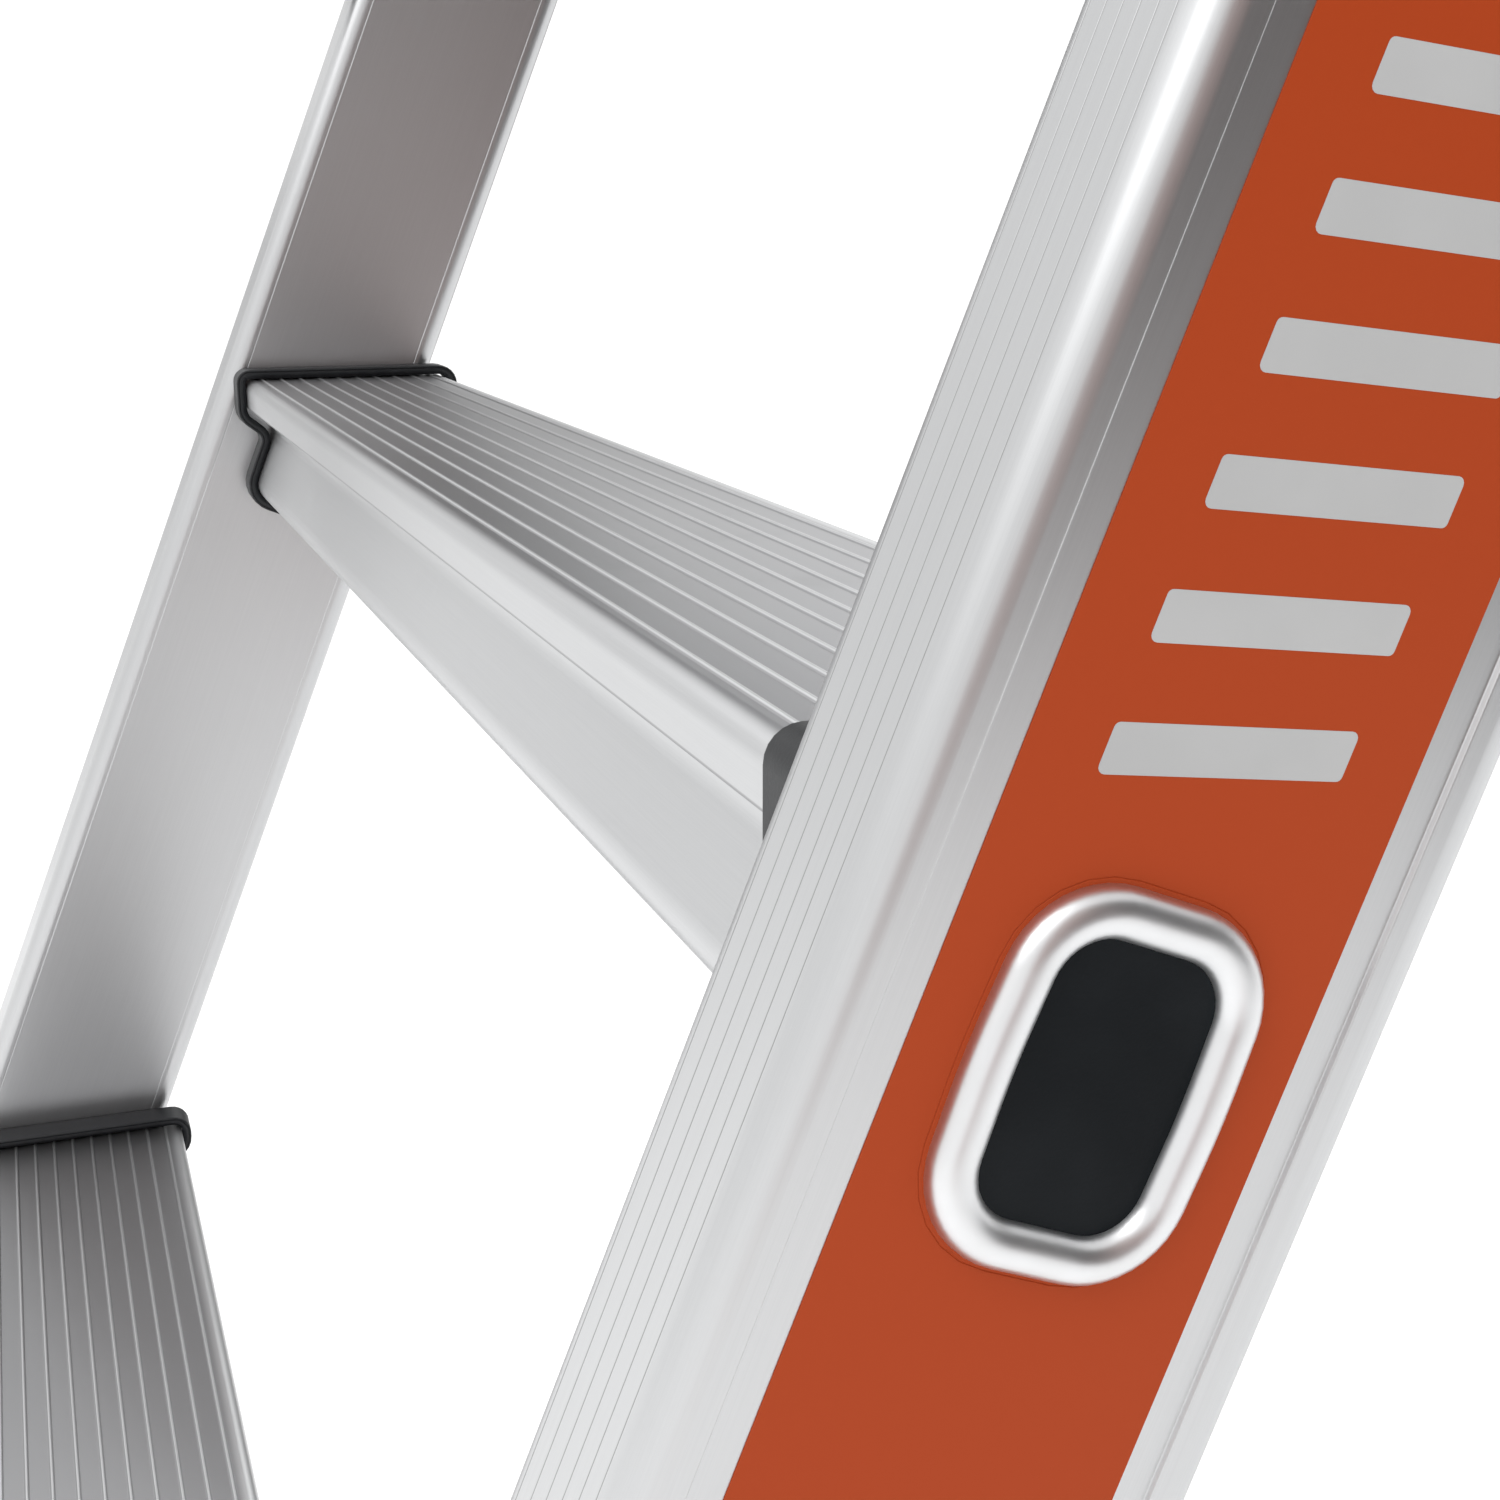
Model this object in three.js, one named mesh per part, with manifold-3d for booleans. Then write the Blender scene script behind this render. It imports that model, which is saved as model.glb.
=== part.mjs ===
// Two-section push-up extension ladder with flat treads, leaning as it stands in use.
// Millimetres, +Z up. X runs away from the climber, Y across the treads.
// Each section is drawn in its own stile frame: x from the stiles' front plane to their rear,
// y across from the ladder's centre plane, z up the stile. The whole is then leaned over.

import * as THREE from "three";
import { mergeVertices } from "three/addons/utils/BufferGeometryUtils.js";
import Module from "manifold-3d";

const wasm = await Module();
wasm.setup();

// ---------- driving dimensions ----------

const LEAN = THREE.MathUtils.degToRad(22); // stiles from upright, treads level
const STEP_PITCH = 280; // tread to tread, along the stile
const CLEAR_WIDTH = 529; // between the stiles' inner faces
const FIRST_STEP = 282; // floor to the first tread's nose, along the stile
const BASE_STEPS = 7;
const FLY_STEPS = 6;
const REST_STEP = 3; // base tread that the fly's lowest tread is level with, counted from 0
const BASE_TOP_TAIL = 110; // highest base tread to the stile's top end
const FLY_BOTTOM_TAIL = 115; // fly stile's bottom end to its lowest tread
const FLY_TOP_TAIL = 140; // highest fly tread to the stile's top end

const SEAT_GAP = 0.3; // between pieces that seat on each other
const RUNNING_GAP = 1.5; // between the fly and what guides it
const SECTION_SPARE = 3; // fly's rearmost collar edge to the base's front plane

const STILE_DEPTH = 63.5;
const STILE_WIDTH = 26.5;
const STILE_WALL = 1.8;
const STILE_INNER_RADIUS = 4.7;
const STILE_OUTER_RADIUS = 4.2;
const STILE_LAND = 6.4; // raised land beside the outer web
const STILE_RECESS = 0.6;
const STILE_FLANK = 1; // width of the slope between a land and the recess
const BASE_STILE_START = 34; // lower end of the base stile above the floor line

const TREAD_DEPTH = 67;
const NOSE_SETBACK = 5.5; // nose behind the stile's front plane
const NOSE_HEIGHT = 11.5;
const NOSE_TOP_RADIUS = 5.2;
const NOSE_LOWER_RADIUS = 5;
const NECK_DROP = 18; // underside slopes from the nose down to the box's front wall
const NECK_RADIUS = 6;
const REAR_HEIGHT = 10;
const REAR_TOP_RADIUS = 3;
const REAR_LOWER_RADIUS = 5;
const KEEL_RADIUS = 6; // lower corners of the box under the tread
const KEEL_FLOOR = 3.3; // box wall under the tube's bore
const PLATE_WALL = 2.2;
const PLATE_VOID_HEIGHT = 5.8;

const TUBE_BORE_DEPTH = 19.5; // the tread's tube, open at both ends
const TUBE_BORE_HEIGHT = 29;
const TUBE_WALL = 2;
const TUBE_DROP = 17.5; // tube's centre below the tread's nose, along the stile
const TUBE_CORNER = 4;
const RING_RIM = 4.7; // swaged rim around the bore
const RING_PROUD = 2.8; // above the stile's web

const COLLAR_WALL = 2.8;
const COLLAR_WIDTH = 10.5;

const FOOT_WALL = 4.5;
const FOOT_TOP = 104;
const FOOT_CORNER = 6;
const SOLE_GROOVES = 4;
const SOLE_GROOVE_WIDTH = 4;
const SOLE_GROOVE_DEPTH = 3;

const CAP_PLATE = 4;
const CAP_SPIGOT = 14;
const WALL_CAP_WALL = 3;
const WALL_CAP_SKIRT = 36;
const WALL_CAP_CROWN = 12;
const WALL_CAP_EDGE_RADIUS = 2;
const WALL_CAP_REAR_RADIUS = 4;
const WALL_CAP_FRONT_RADIUS = 8;

const GUIDE_WALL = 4.5;
const GUIDE_HEIGHT = 40;
const GUIDE_TAIL = 46; // length riveted to its own stile's web
const GUIDE_LIP = 20;
const GUIDE_CORNER = 4;
const UPPER_GUIDE_DROP = 96; // guide's lower edge below the base stile's top
const LOWER_GUIDE_RISE = 32; // guide's lower edge above the fly stile's bottom

const LOCK_PIVOT_HEIGHT = 95; // pin above the tread that the lock stands on
const LOCK_PIVOT_REACH = 7; // pin behind that tread's nose
const LOCK_SOLE_GAP = 0.4;
const LOCK_SWING = THREE.MathUtils.degToRad(50);
const LOCK_THICKNESS = 6;
const LOCK_BOSS_RADIUS = 10;
const LOCK_NECK = 12; // arm's width between boss and shoe
const LOCK_SHOE = 20;
const LOCK_SHOE_HEIGHT = 12;
const PIN_RADIUS = 4;
const PIN_HEAD_RADIUS = 7.5;
const PIN_HEAD_HEIGHT = 3;
const PIN_HEAD_CHAMFER = 1;
const PIN_PLAY = 0.15;

const ARC_STEPS = 2;
const ROUND_STEPS = 16;
const SOLE_STEPS = 4; // facets along the lock's curved sole

// ---------- sizes that follow ----------

const innerFace = CLEAR_WIDTH / 2;
const outerFace = innerFace + STILE_WIDTH;
const webFace = outerFace - STILE_RECESS;
const ringFace = webFace + SEAT_GAP + RING_PROUD;
const tubeFront = STILE_DEPTH / 2 - TUBE_BORE_DEPTH / 2 - TUBE_WALL;
const tubeRear = STILE_DEPTH / 2 + TUBE_BORE_DEPTH / 2 + TUBE_WALL;
const keelBottom = -TUBE_DROP - TUBE_BORE_HEIGHT / 2 - KEEL_FLOOR;

// A point u behind and v above the nose, on level axes, in the stile's frame.
function level(u, v) {
  return [
    NOSE_SETBACK + u * Math.cos(LEAN) - v * Math.sin(LEAN),
    u * Math.sin(LEAN) + v * Math.cos(LEAN),
  ];
}

// Where the level line v above the nose crosses x in the stile's frame.
function levelAt(x, v) {
  const u = (x - NOSE_SETBACK + v * Math.sin(LEAN)) / Math.cos(LEAN);
  return level(u, v);
}

const treadCorners = [
  [...level(TREAD_DEPTH, 0), REAR_TOP_RADIUS],
  [...level(0, 0), NOSE_TOP_RADIUS],
  [...level(0, -NOSE_HEIGHT), NOSE_LOWER_RADIUS],
  [...levelAt(tubeFront, -NECK_DROP), NECK_RADIUS],
  [tubeFront, keelBottom, KEEL_RADIUS],
  [tubeRear, keelBottom, KEEL_RADIUS],
  [...levelAt(tubeRear, -REAR_HEIGHT), 0],
  [...level(TREAD_DEPTH, -REAR_HEIGHT), REAR_LOWER_RADIUS],
];

const collarGrow = SEAT_GAP + COLLAR_WALL;
const collarRear = Math.max(...outline(treadCorners, collarGrow).map((p) => p.x));
// The gap between the sections clears the fly's collars and holds the guides' inner wall.
const sectionGap = Math.max(
  collarRear - STILE_DEPTH + SECTION_SPARE,
  SEAT_GAP + GUIDE_WALL + RUNNING_GAP,
);
const sectionShift = STILE_DEPTH + sectionGap;
const levelShift = sectionShift * Math.tan(LEAN);

// ---------- outlines and solids ----------

// Closed outline through corners [x, y, radius], counter-clockwise, with every side moved out by grow.
function outline(corners, grow = 0, steps = ARC_STEPS) {
  const points = corners.map(([x, y]) => new THREE.Vector2(x, y));
  const count = points.length;
  const normals = points.map((point, i) => {
    const along = points[(i + 1) % count].clone().sub(point).normalize();
    return new THREE.Vector2(along.y, -along.x);
  });
  return points.flatMap((point, i) => {
    const before = normals[(i + count - 1) % count];
    const after = normals[i];
    const turn = Math.atan2(before.cross(after), before.dot(after));
    const bend = Math.sign(turn);
    const radius = Math.max(corners[i][2] + bend * grow, 0);
    const mitre = before.clone().add(after).divideScalar(1 + before.dot(after));
    const centre = point.clone().addScaledVector(mitre, grow - bend * radius);
    if (corners[i][2] === 0 || radius === 0) {
      return [point.clone().addScaledVector(mitre, grow)];
    }
    return Array.from({ length: steps + 1 }, (_, k) => {
      const ray = before.clone().rotateAround(new THREE.Vector2(), (turn * k) / steps);
      return centre.clone().addScaledVector(ray, bend * radius);
    });
  });
}

// Corners of a rectangle, counter-clockwise, each with the same radius.
function rectangle(x0, y0, x1, y1, radius = 0) {
  return [
    [x0, y0, radius],
    [x1, y0, radius],
    [x1, y1, radius],
    [x0, y1, radius],
  ];
}

// Straight prism on an outline, with holes, from z = low to z = high.
function prism(points, low, high, holes = []) {
  const shape = new THREE.Shape(points);
  shape.holes = holes.map((hole) => new THREE.Path(hole));
  const settings = { depth: high - low, bevelEnabled: false, steps: 1 };
  return new THREE.ExtrudeGeometry(shape, settings).translate(0, 0, low);
}

// The same on an outline in the x-z plane, from y = low to y = high.
function crossPrism(points, low, high, holes = []) {
  return prism(points, -high, -low, holes).rotateX(Math.PI / 2);
}

// Closed geometry as a solid for joins and cuts.
function solid(geometry) {
  const bare = new THREE.BufferGeometry();
  bare.setAttribute("position", geometry.getAttribute("position"));
  bare.setIndex(geometry.index);
  const merged = mergeVertices(bare, 1e-4);
  return new wasm.Manifold(
    new wasm.Mesh({
      numProp: 3,
      vertProperties: merged.getAttribute("position").array,
      triVerts: new Uint32Array(merged.index.array),
    }),
  );
}

// A solid back as geometry.
function geometryOf(body) {
  const mesh = body.getMesh();
  const geometry = new THREE.BufferGeometry();
  geometry.setAttribute("position", new THREE.BufferAttribute(mesh.vertProperties, 3));
  geometry.setIndex(new THREE.BufferAttribute(mesh.triVerts, 1));
  return geometry;
}

// ---------- materials ----------

const finishes = {
  aluminium: { color: 0xc9cccf, roughness: 0.38, metalness: 1 },
  plastic: { color: 0x1b1c1e, roughness: 0.6, metalness: 0 },
  rubber: { color: 0x222223, roughness: 0.85, metalness: 0 },
  casting: { color: 0xb4b7ba, roughness: 0.5, metalness: 1 },
  steel: { color: 0xd0d2d4, roughness: 0.3, metalness: 1 },
};

function piece(name, geometry, finish) {
  geometry.computeVertexNormals();
  const mesh = new THREE.Mesh(geometry, new THREE.MeshStandardMaterial(finishes[finish]));
  mesh.name = name;
  return mesh;
}

// ---------- sub-parts, drawn for the left-hand side ----------

const tubeCentre = STILE_DEPTH / 2;

// Rounded rectangle on the tube's axis, grown from the bore, for a tread with its nose at z.
function tubeOutline(z, grow, steps = 1) {
  const across = TUBE_BORE_DEPTH / 2;
  const up = TUBE_BORE_HEIGHT / 2;
  const middle = z - TUBE_DROP;
  const corners = rectangle(
    tubeCentre - across,
    middle - up,
    tubeCentre + across,
    middle + up,
    TUBE_CORNER,
  );
  return outline(corners, grow, steps);
}

// Box-section stile with a shallow outer web and an opening through both walls for each tread.
function stile(bottom, top, treads) {
  const section = [
    [0, innerFace, STILE_INNER_RADIUS],
    [STILE_DEPTH, innerFace, STILE_INNER_RADIUS],
    [STILE_DEPTH, outerFace, STILE_OUTER_RADIUS],
    [STILE_DEPTH - STILE_LAND, outerFace, 0],
    [STILE_DEPTH - STILE_LAND - STILE_FLANK, webFace, 0],
    [STILE_LAND + STILE_FLANK, webFace, 0],
    [STILE_LAND, outerFace, 0],
    [0, outerFace, STILE_OUTER_RADIUS],
  ];
  const hollow = rectangle(
    STILE_WALL,
    innerFace + STILE_WALL,
    STILE_DEPTH - STILE_WALL,
    webFace - STILE_WALL,
  );
  let body = solid(prism(outline(section), bottom, top, [outline(hollow)]));
  for (const z of treads) {
    const opening = tubeOutline(z, TUBE_WALL + SEAT_GAP);
    body = body.subtract(solid(crossPrism(opening, innerFace - 1, outerFace + 1)));
  }
  return geometryOf(body);
}

// Hollow tread: level plate with a rounded nose, a box under it whose bore runs on
// through both stiles, and a swaged rim outside each web that holds it.
function tread() {
  const end = innerFace - SEAT_GAP;
  const plateVoid = [
    [...level(TREAD_DEPTH - PLATE_WALL, -PLATE_WALL), 0],
    [...level(PLATE_WALL, -PLATE_WALL), 0],
    [...level(PLATE_WALL, -PLATE_WALL - PLATE_VOID_HEIGHT), 0],
    [...level(TREAD_DEPTH - PLATE_WALL, -PLATE_WALL - PLATE_VOID_HEIGHT), 0],
  ];
  let body = solid(crossPrism(outline(treadCorners), -end, end, [outline(plateVoid)]));
  body = body.add(solid(crossPrism(tubeOutline(0, TUBE_WALL), -ringFace, ringFace)));
  for (const side of [-1, 1]) {
    const faces = [side * ringFace, side * (webFace + SEAT_GAP)];
    const rim = crossPrism(tubeOutline(0, RING_RIM, 2), Math.min(...faces), Math.max(...faces));
    body = body.add(solid(rim));
  }
  return geometryOf(body.subtract(solid(crossPrism(tubeOutline(0, 0), -outerFace * 2, outerFace * 2))));
}

// Moulded sleeve around the tread's end, against the stile's inner face.
function collar() {
  const outer = outline(treadCorners, collarGrow);
  const inner = outline(treadCorners, SEAT_GAP);
  const end = innerFace - SEAT_GAP;
  return crossPrism(outer, end - COLLAR_WIDTH, end, [inner]);
}

// Rubber shoe around the base stile's lower end, its grooved sole level on the floor.
function foot() {
  const floor = (x) => x * Math.tan(LEAN);
  const front = -FOOT_WALL;
  const rear = STILE_DEPTH + FOOT_WALL;
  const spacing = (rear - front) / (SOLE_GROOVES + 1);
  const sole = Array.from({ length: SOLE_GROOVES }, (_, i) => {
    const left = front + spacing * (i + 1) - SOLE_GROOVE_WIDTH / 2;
    const right = left + SOLE_GROOVE_WIDTH;
    return [
      [left, floor(left), 0],
      [left, floor(left) + SOLE_GROOVE_DEPTH, 0],
      [right, floor(right) + SOLE_GROOVE_DEPTH, 0],
      [right, floor(right), 0],
    ];
  }).flat();
  const side = [
    [front, floor(front), 0],
    ...sole,
    [rear, floor(rear), 0],
    [rear, FOOT_TOP, FOOT_CORNER],
    [front, FOOT_TOP, FOOT_CORNER],
  ];
  const block = crossPrism(outline(side), innerFace - FOOT_WALL, outerFace + FOOT_WALL);
  const socket = rectangle(
    -SEAT_GAP,
    innerFace - SEAT_GAP,
    STILE_DEPTH + SEAT_GAP,
    outerFace + SEAT_GAP,
    STILE_OUTER_RADIUS,
  );
  const well = prism(outline(socket), BASE_STILE_START - SEAT_GAP, FOOT_TOP + 1);
  return geometryOf(solid(block).subtract(solid(well)));
}

// Plug in an open stile end, with its plate above (up = 1) or below (up = -1) the end.
function endCap(end, up) {
  const inset = STILE_WALL + SEAT_GAP;
  const bore = rectangle(inset, innerFace + inset, STILE_DEPTH - inset, webFace - inset);
  const section = rectangle(0, innerFace, STILE_DEPTH, outerFace, STILE_OUTER_RADIUS);
  const face = end + up * SEAT_GAP;
  const plate = [face, face + up * CAP_PLATE].sort((a, b) => a - b);
  const spigot = [end - up * CAP_SPIGOT, face + (up * CAP_PLATE) / 2].sort((a, b) => a - b);
  const body = solid(prism(outline(section), ...plate));
  return geometryOf(body.add(solid(prism(outline(bore), ...spigot))));
}

// Bumper over the fly stile's top end, with an upright face at the back that rests on the wall.
function wallCap(top) {
  const bulge = sectionGap - RUNNING_GAP;
  const crown = top + WALL_CAP_CROWN;
  const skirt = top - WALL_CAP_SKIRT;
  const faceLow = top - WALL_CAP_SKIRT / 2;
  const faceHigh = STILE_DEPTH + bulge - (crown - faceLow) * Math.tan(LEAN);
  const side = [
    [-WALL_CAP_WALL, skirt, WALL_CAP_EDGE_RADIUS],
    [STILE_DEPTH + WALL_CAP_WALL, skirt, WALL_CAP_EDGE_RADIUS],
    [STILE_DEPTH + bulge, faceLow, WALL_CAP_EDGE_RADIUS],
    [faceHigh, crown, WALL_CAP_REAR_RADIUS],
    [-WALL_CAP_WALL, crown, WALL_CAP_FRONT_RADIUS],
  ];
  const block = crossPrism(outline(side), innerFace - WALL_CAP_WALL, outerFace + WALL_CAP_WALL);
  const socket = rectangle(
    -SEAT_GAP,
    innerFace - SEAT_GAP,
    STILE_DEPTH + SEAT_GAP,
    outerFace + SEAT_GAP,
    STILE_OUTER_RADIUS,
  );
  const well = prism(outline(socket), skirt - 1, top + SEAT_GAP);
  return geometryOf(solid(block).subtract(solid(well)));
}

// Guide riveted to its own stile's web, wrapping the other section's stile in front of it.
// A guide for the fly's lower end is the same turned front to back.
function guide(bottom, turned) {
  const otherNear = -sectionGap + RUNNING_GAP;
  const otherFar = -sectionShift - RUNNING_GAP;
  const wallIn = ringFace + RUNNING_GAP;
  const wallOut = wallIn + GUIDE_WALL;
  const lipEnd = outerFace - GUIDE_LIP;
  const corners = [
    [otherFar - GUIDE_WALL, lipEnd, 0],
    [otherFar, lipEnd, 0],
    [otherFar, wallIn, 0],
    [otherNear, wallIn, 0],
    [otherNear, lipEnd, 0],
    [-SEAT_GAP, lipEnd, 0],
    [-SEAT_GAP, outerFace + SEAT_GAP, 0],
    [GUIDE_TAIL, outerFace + SEAT_GAP, 0],
    [GUIDE_TAIL, wallOut, GUIDE_CORNER],
    [otherFar - GUIDE_WALL, wallOut, GUIDE_CORNER],
  ];
  const turnedCorners = corners.map(([x, y, r]) => [STILE_DEPTH - x, y, r]).reverse();
  return prism(outline(turned ? turnedCorners : corners), bottom, bottom + GUIDE_HEIGHT);
}

// Pin on the fly stile's inner face that the lock swings on, with a spacer and a head.
function lockPin() {
  const spacer = SEAT_GAP + COLLAR_WIDTH + RUNNING_GAP;
  const shank = spacer + LOCK_THICKNESS + 2 * SEAT_GAP;
  const profile = [
    [0, SEAT_GAP],
    [PIN_HEAD_RADIUS, SEAT_GAP],
    [PIN_HEAD_RADIUS, spacer],
    [PIN_RADIUS, spacer],
    [PIN_RADIUS, shank],
    [PIN_HEAD_RADIUS, shank],
    [PIN_HEAD_RADIUS - PIN_HEAD_CHAMFER, shank + PIN_HEAD_HEIGHT],
    [0, shank + PIN_HEAD_HEIGHT],
  ].map(([radius, along]) => new THREE.Vector2(radius, along));
  return new THREE.LatheGeometry(profile, ROUND_STEPS).rotateX(Math.PI).translate(0, innerFace, 0);
}

// Points on an arc about the origin; the angle is measured from straight down, towards +x.
function arcFromBelow(radius, start, end, steps) {
  return Array.from({ length: steps + 1 }, (_, i) => {
    const angle = start + ((end - start) * i) / steps;
    return new THREE.Vector2(radius * Math.sin(angle), -radius * Math.cos(angle));
  });
}

// Lock that hangs from the pin and stands on the base tread; its sole is an arc about the pin.
function lockStrut() {
  const sole = LOCK_PIVOT_HEIGHT - LOCK_SOLE_GAP;
  const edge = Math.asin(LOCK_SHOE / 2 / sole);
  const shoulder = -sole + LOCK_SHOE_HEIGHT;
  const half = LOCK_NECK / 2;
  const bossEdge = Math.asin(half / LOCK_BOSS_RADIUS);
  const profile = [
    ...arcFromBelow(sole, -edge, edge, SOLE_STEPS),
    new THREE.Vector2(half, shoulder),
    ...arcFromBelow(LOCK_BOSS_RADIUS, bossEdge, 2 * Math.PI - bossEdge, ROUND_STEPS),
    new THREE.Vector2(-half, shoulder),
  ];
  const boreRadius = (PIN_RADIUS + PIN_PLAY) / Math.cos(Math.PI / ROUND_STEPS);
  const bore = arcFromBelow(boreRadius, 0, 2 * Math.PI, ROUND_STEPS).slice(0, -1);
  const near = innerFace - SEAT_GAP - COLLAR_WIDTH - RUNNING_GAP - SEAT_GAP;
  return crossPrism(profile, near - LOCK_THICKNESS, near, [bore]);
}

// ---------- assembly ----------

const sides = { left: 1, right: -1 };

// Adds a pair of pieces, one for each side; place sets each one's position or turn.
function addPair(section, name, makeGeometry, finish, place = () => {}) {
  for (const [side, sign] of Object.entries(sides)) {
    const half = new THREE.Group();
    half.scale.y = sign;
    const mesh = piece(name.replace("SIDE", side), makeGeometry(), finish);
    place(mesh);
    half.add(mesh);
    section.add(half);
  }
}

// Adds the treads of a section with their collars.
function addTreads(section, label, heights) {
  heights.forEach((z, i) => {
    const mesh = piece(`${label}_tread_${i + 1}`, tread(), "aluminium");
    mesh.position.z = z;
    section.add(mesh);
    addPair(section, `${label}_collar_SIDE_${i + 1}`, collar, "plastic", (half) => {
      half.position.z = z;
    });
  });
}

function heightsFrom(first, count) {
  return Array.from({ length: count }, (_, i) => first + i * STEP_PITCH);
}

function baseSection() {
  const section = new THREE.Group();
  const heights = heightsFrom(FIRST_STEP, BASE_STEPS);
  const top = heights.at(-1) + BASE_TOP_TAIL;
  addPair(section, "base_stile_SIDE", () => stile(BASE_STILE_START, top, heights), "aluminium");
  addTreads(section, "base", heights);
  addPair(section, "base_foot_SIDE", foot, "rubber");
  addPair(section, "base_end_cap_SIDE", () => endCap(top, 1), "plastic");
  addPair(section, "upper_guide_SIDE", () => guide(top - UPPER_GUIDE_DROP, false), "plastic");
  return section;
}

function flySection() {
  const section = new THREE.Group();
  const heights = heightsFrom(FLY_BOTTOM_TAIL, FLY_STEPS);
  const top = heights.at(-1) + FLY_TOP_TAIL;
  const reach = sectionShift / Math.cos(LEAN) + LOCK_PIVOT_REACH;
  const [pivotX, pivotRise] = level(reach, LOCK_PIVOT_HEIGHT);
  const onPivot = (mesh) => mesh.position.set(pivotX, 0, FLY_BOTTOM_TAIL + pivotRise);
  addPair(section, "fly_stile_SIDE", () => stile(0, top, heights), "aluminium");
  addTreads(section, "fly", heights);
  addPair(section, "fly_end_cap_SIDE", () => endCap(0, -1), "plastic");
  addPair(section, "fly_wall_cap_SIDE", () => wallCap(top), "rubber");
  addPair(section, "lower_guide_SIDE", () => guide(LOWER_GUIDE_RISE, true), "plastic");
  addPair(section, "lock_pin_SIDE", lockPin, "steel", onPivot);
  addPair(section, "lock_strut_SIDE", lockStrut, "casting", (mesh) => {
    onPivot(mesh);
    mesh.rotation.y = LOCK_SWING - LEAN;
  });
  section.position.x = -sectionShift;
  section.position.z = FIRST_STEP + REST_STEP * STEP_PITCH - levelShift - FLY_BOTTOM_TAIL;
  return section;
}

const ladder = new THREE.Group();
ladder.add(baseSection(), flySection());
ladder.rotation.y = LEAN;

// The origin is on the floor, under the middle of the whole ladder's box.
const part = new THREE.Group();
part.add(ladder);
const bounds = new THREE.Box3().setFromObject(part, true);
const middle = bounds.getCenter(new THREE.Vector3());
ladder.position.set(-middle.x, -middle.y, -bounds.min.z);

export default part;
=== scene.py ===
"""Two-section extension ladder with flat treads: its looks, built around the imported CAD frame.

Each section is drawn in its own stile frame, in millimetres: x runs from the stiles' front plane to
their rear, y across from the ladder's centre plane, and z up the stile from the lowest tread's nose.
A piece is drawn for the left-hand side and mirrored for the right, then placed in the row frame in metres.
"""

import logging
import math
from dataclasses import dataclass, field
from enum import Enum
from typing import Sequence

import bpy
import numpy as np
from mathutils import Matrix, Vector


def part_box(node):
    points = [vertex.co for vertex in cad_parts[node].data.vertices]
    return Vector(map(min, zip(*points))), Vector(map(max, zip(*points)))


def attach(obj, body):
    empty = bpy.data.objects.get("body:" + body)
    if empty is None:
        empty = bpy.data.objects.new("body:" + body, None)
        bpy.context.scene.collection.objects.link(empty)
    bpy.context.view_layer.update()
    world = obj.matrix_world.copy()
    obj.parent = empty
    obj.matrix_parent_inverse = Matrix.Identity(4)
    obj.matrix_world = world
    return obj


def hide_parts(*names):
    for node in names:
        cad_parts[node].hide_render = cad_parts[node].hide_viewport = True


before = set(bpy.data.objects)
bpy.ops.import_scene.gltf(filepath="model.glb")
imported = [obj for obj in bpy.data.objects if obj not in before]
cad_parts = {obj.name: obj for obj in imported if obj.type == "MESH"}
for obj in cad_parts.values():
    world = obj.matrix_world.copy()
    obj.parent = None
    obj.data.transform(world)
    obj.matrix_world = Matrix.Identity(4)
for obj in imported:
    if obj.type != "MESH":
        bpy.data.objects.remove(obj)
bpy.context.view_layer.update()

log = logging.getLogger("ladder")

MM = 0.001
SUPPORT = 0.25  # strip beside each rounded edge that keeps the flat face flat in shading, mm
TINY = 0.02  # radius of an edge that is drawn sharp, mm
SHARP = math.radians(38)  # faces that meet at more than this are not blended
OUTLINE_STEPS = 6  # pieces that a corner's arc is divided into, unless a piece asks for more
PAINTED_SHADE_ATTRIBUTE = "dull"  # point attribute of drawn metal: one where painted shade makes its colour darker and duller, nought elsewhere

Corners = Sequence[tuple[float, float, float]]
Rings = Sequence[tuple[float, float]]


class Side(Enum):
    """The two halves of the ladder, with the sign of y on that side."""

    LEFT = 1
    RIGHT = -1


class Plane(Enum):
    """The plane that an outline is drawn in, in the stile frame."""

    PLAN = "x and y, carried up the stile"
    SIDE = "x and z, carried across"


# ---------- outlines and lofts ----------


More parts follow.
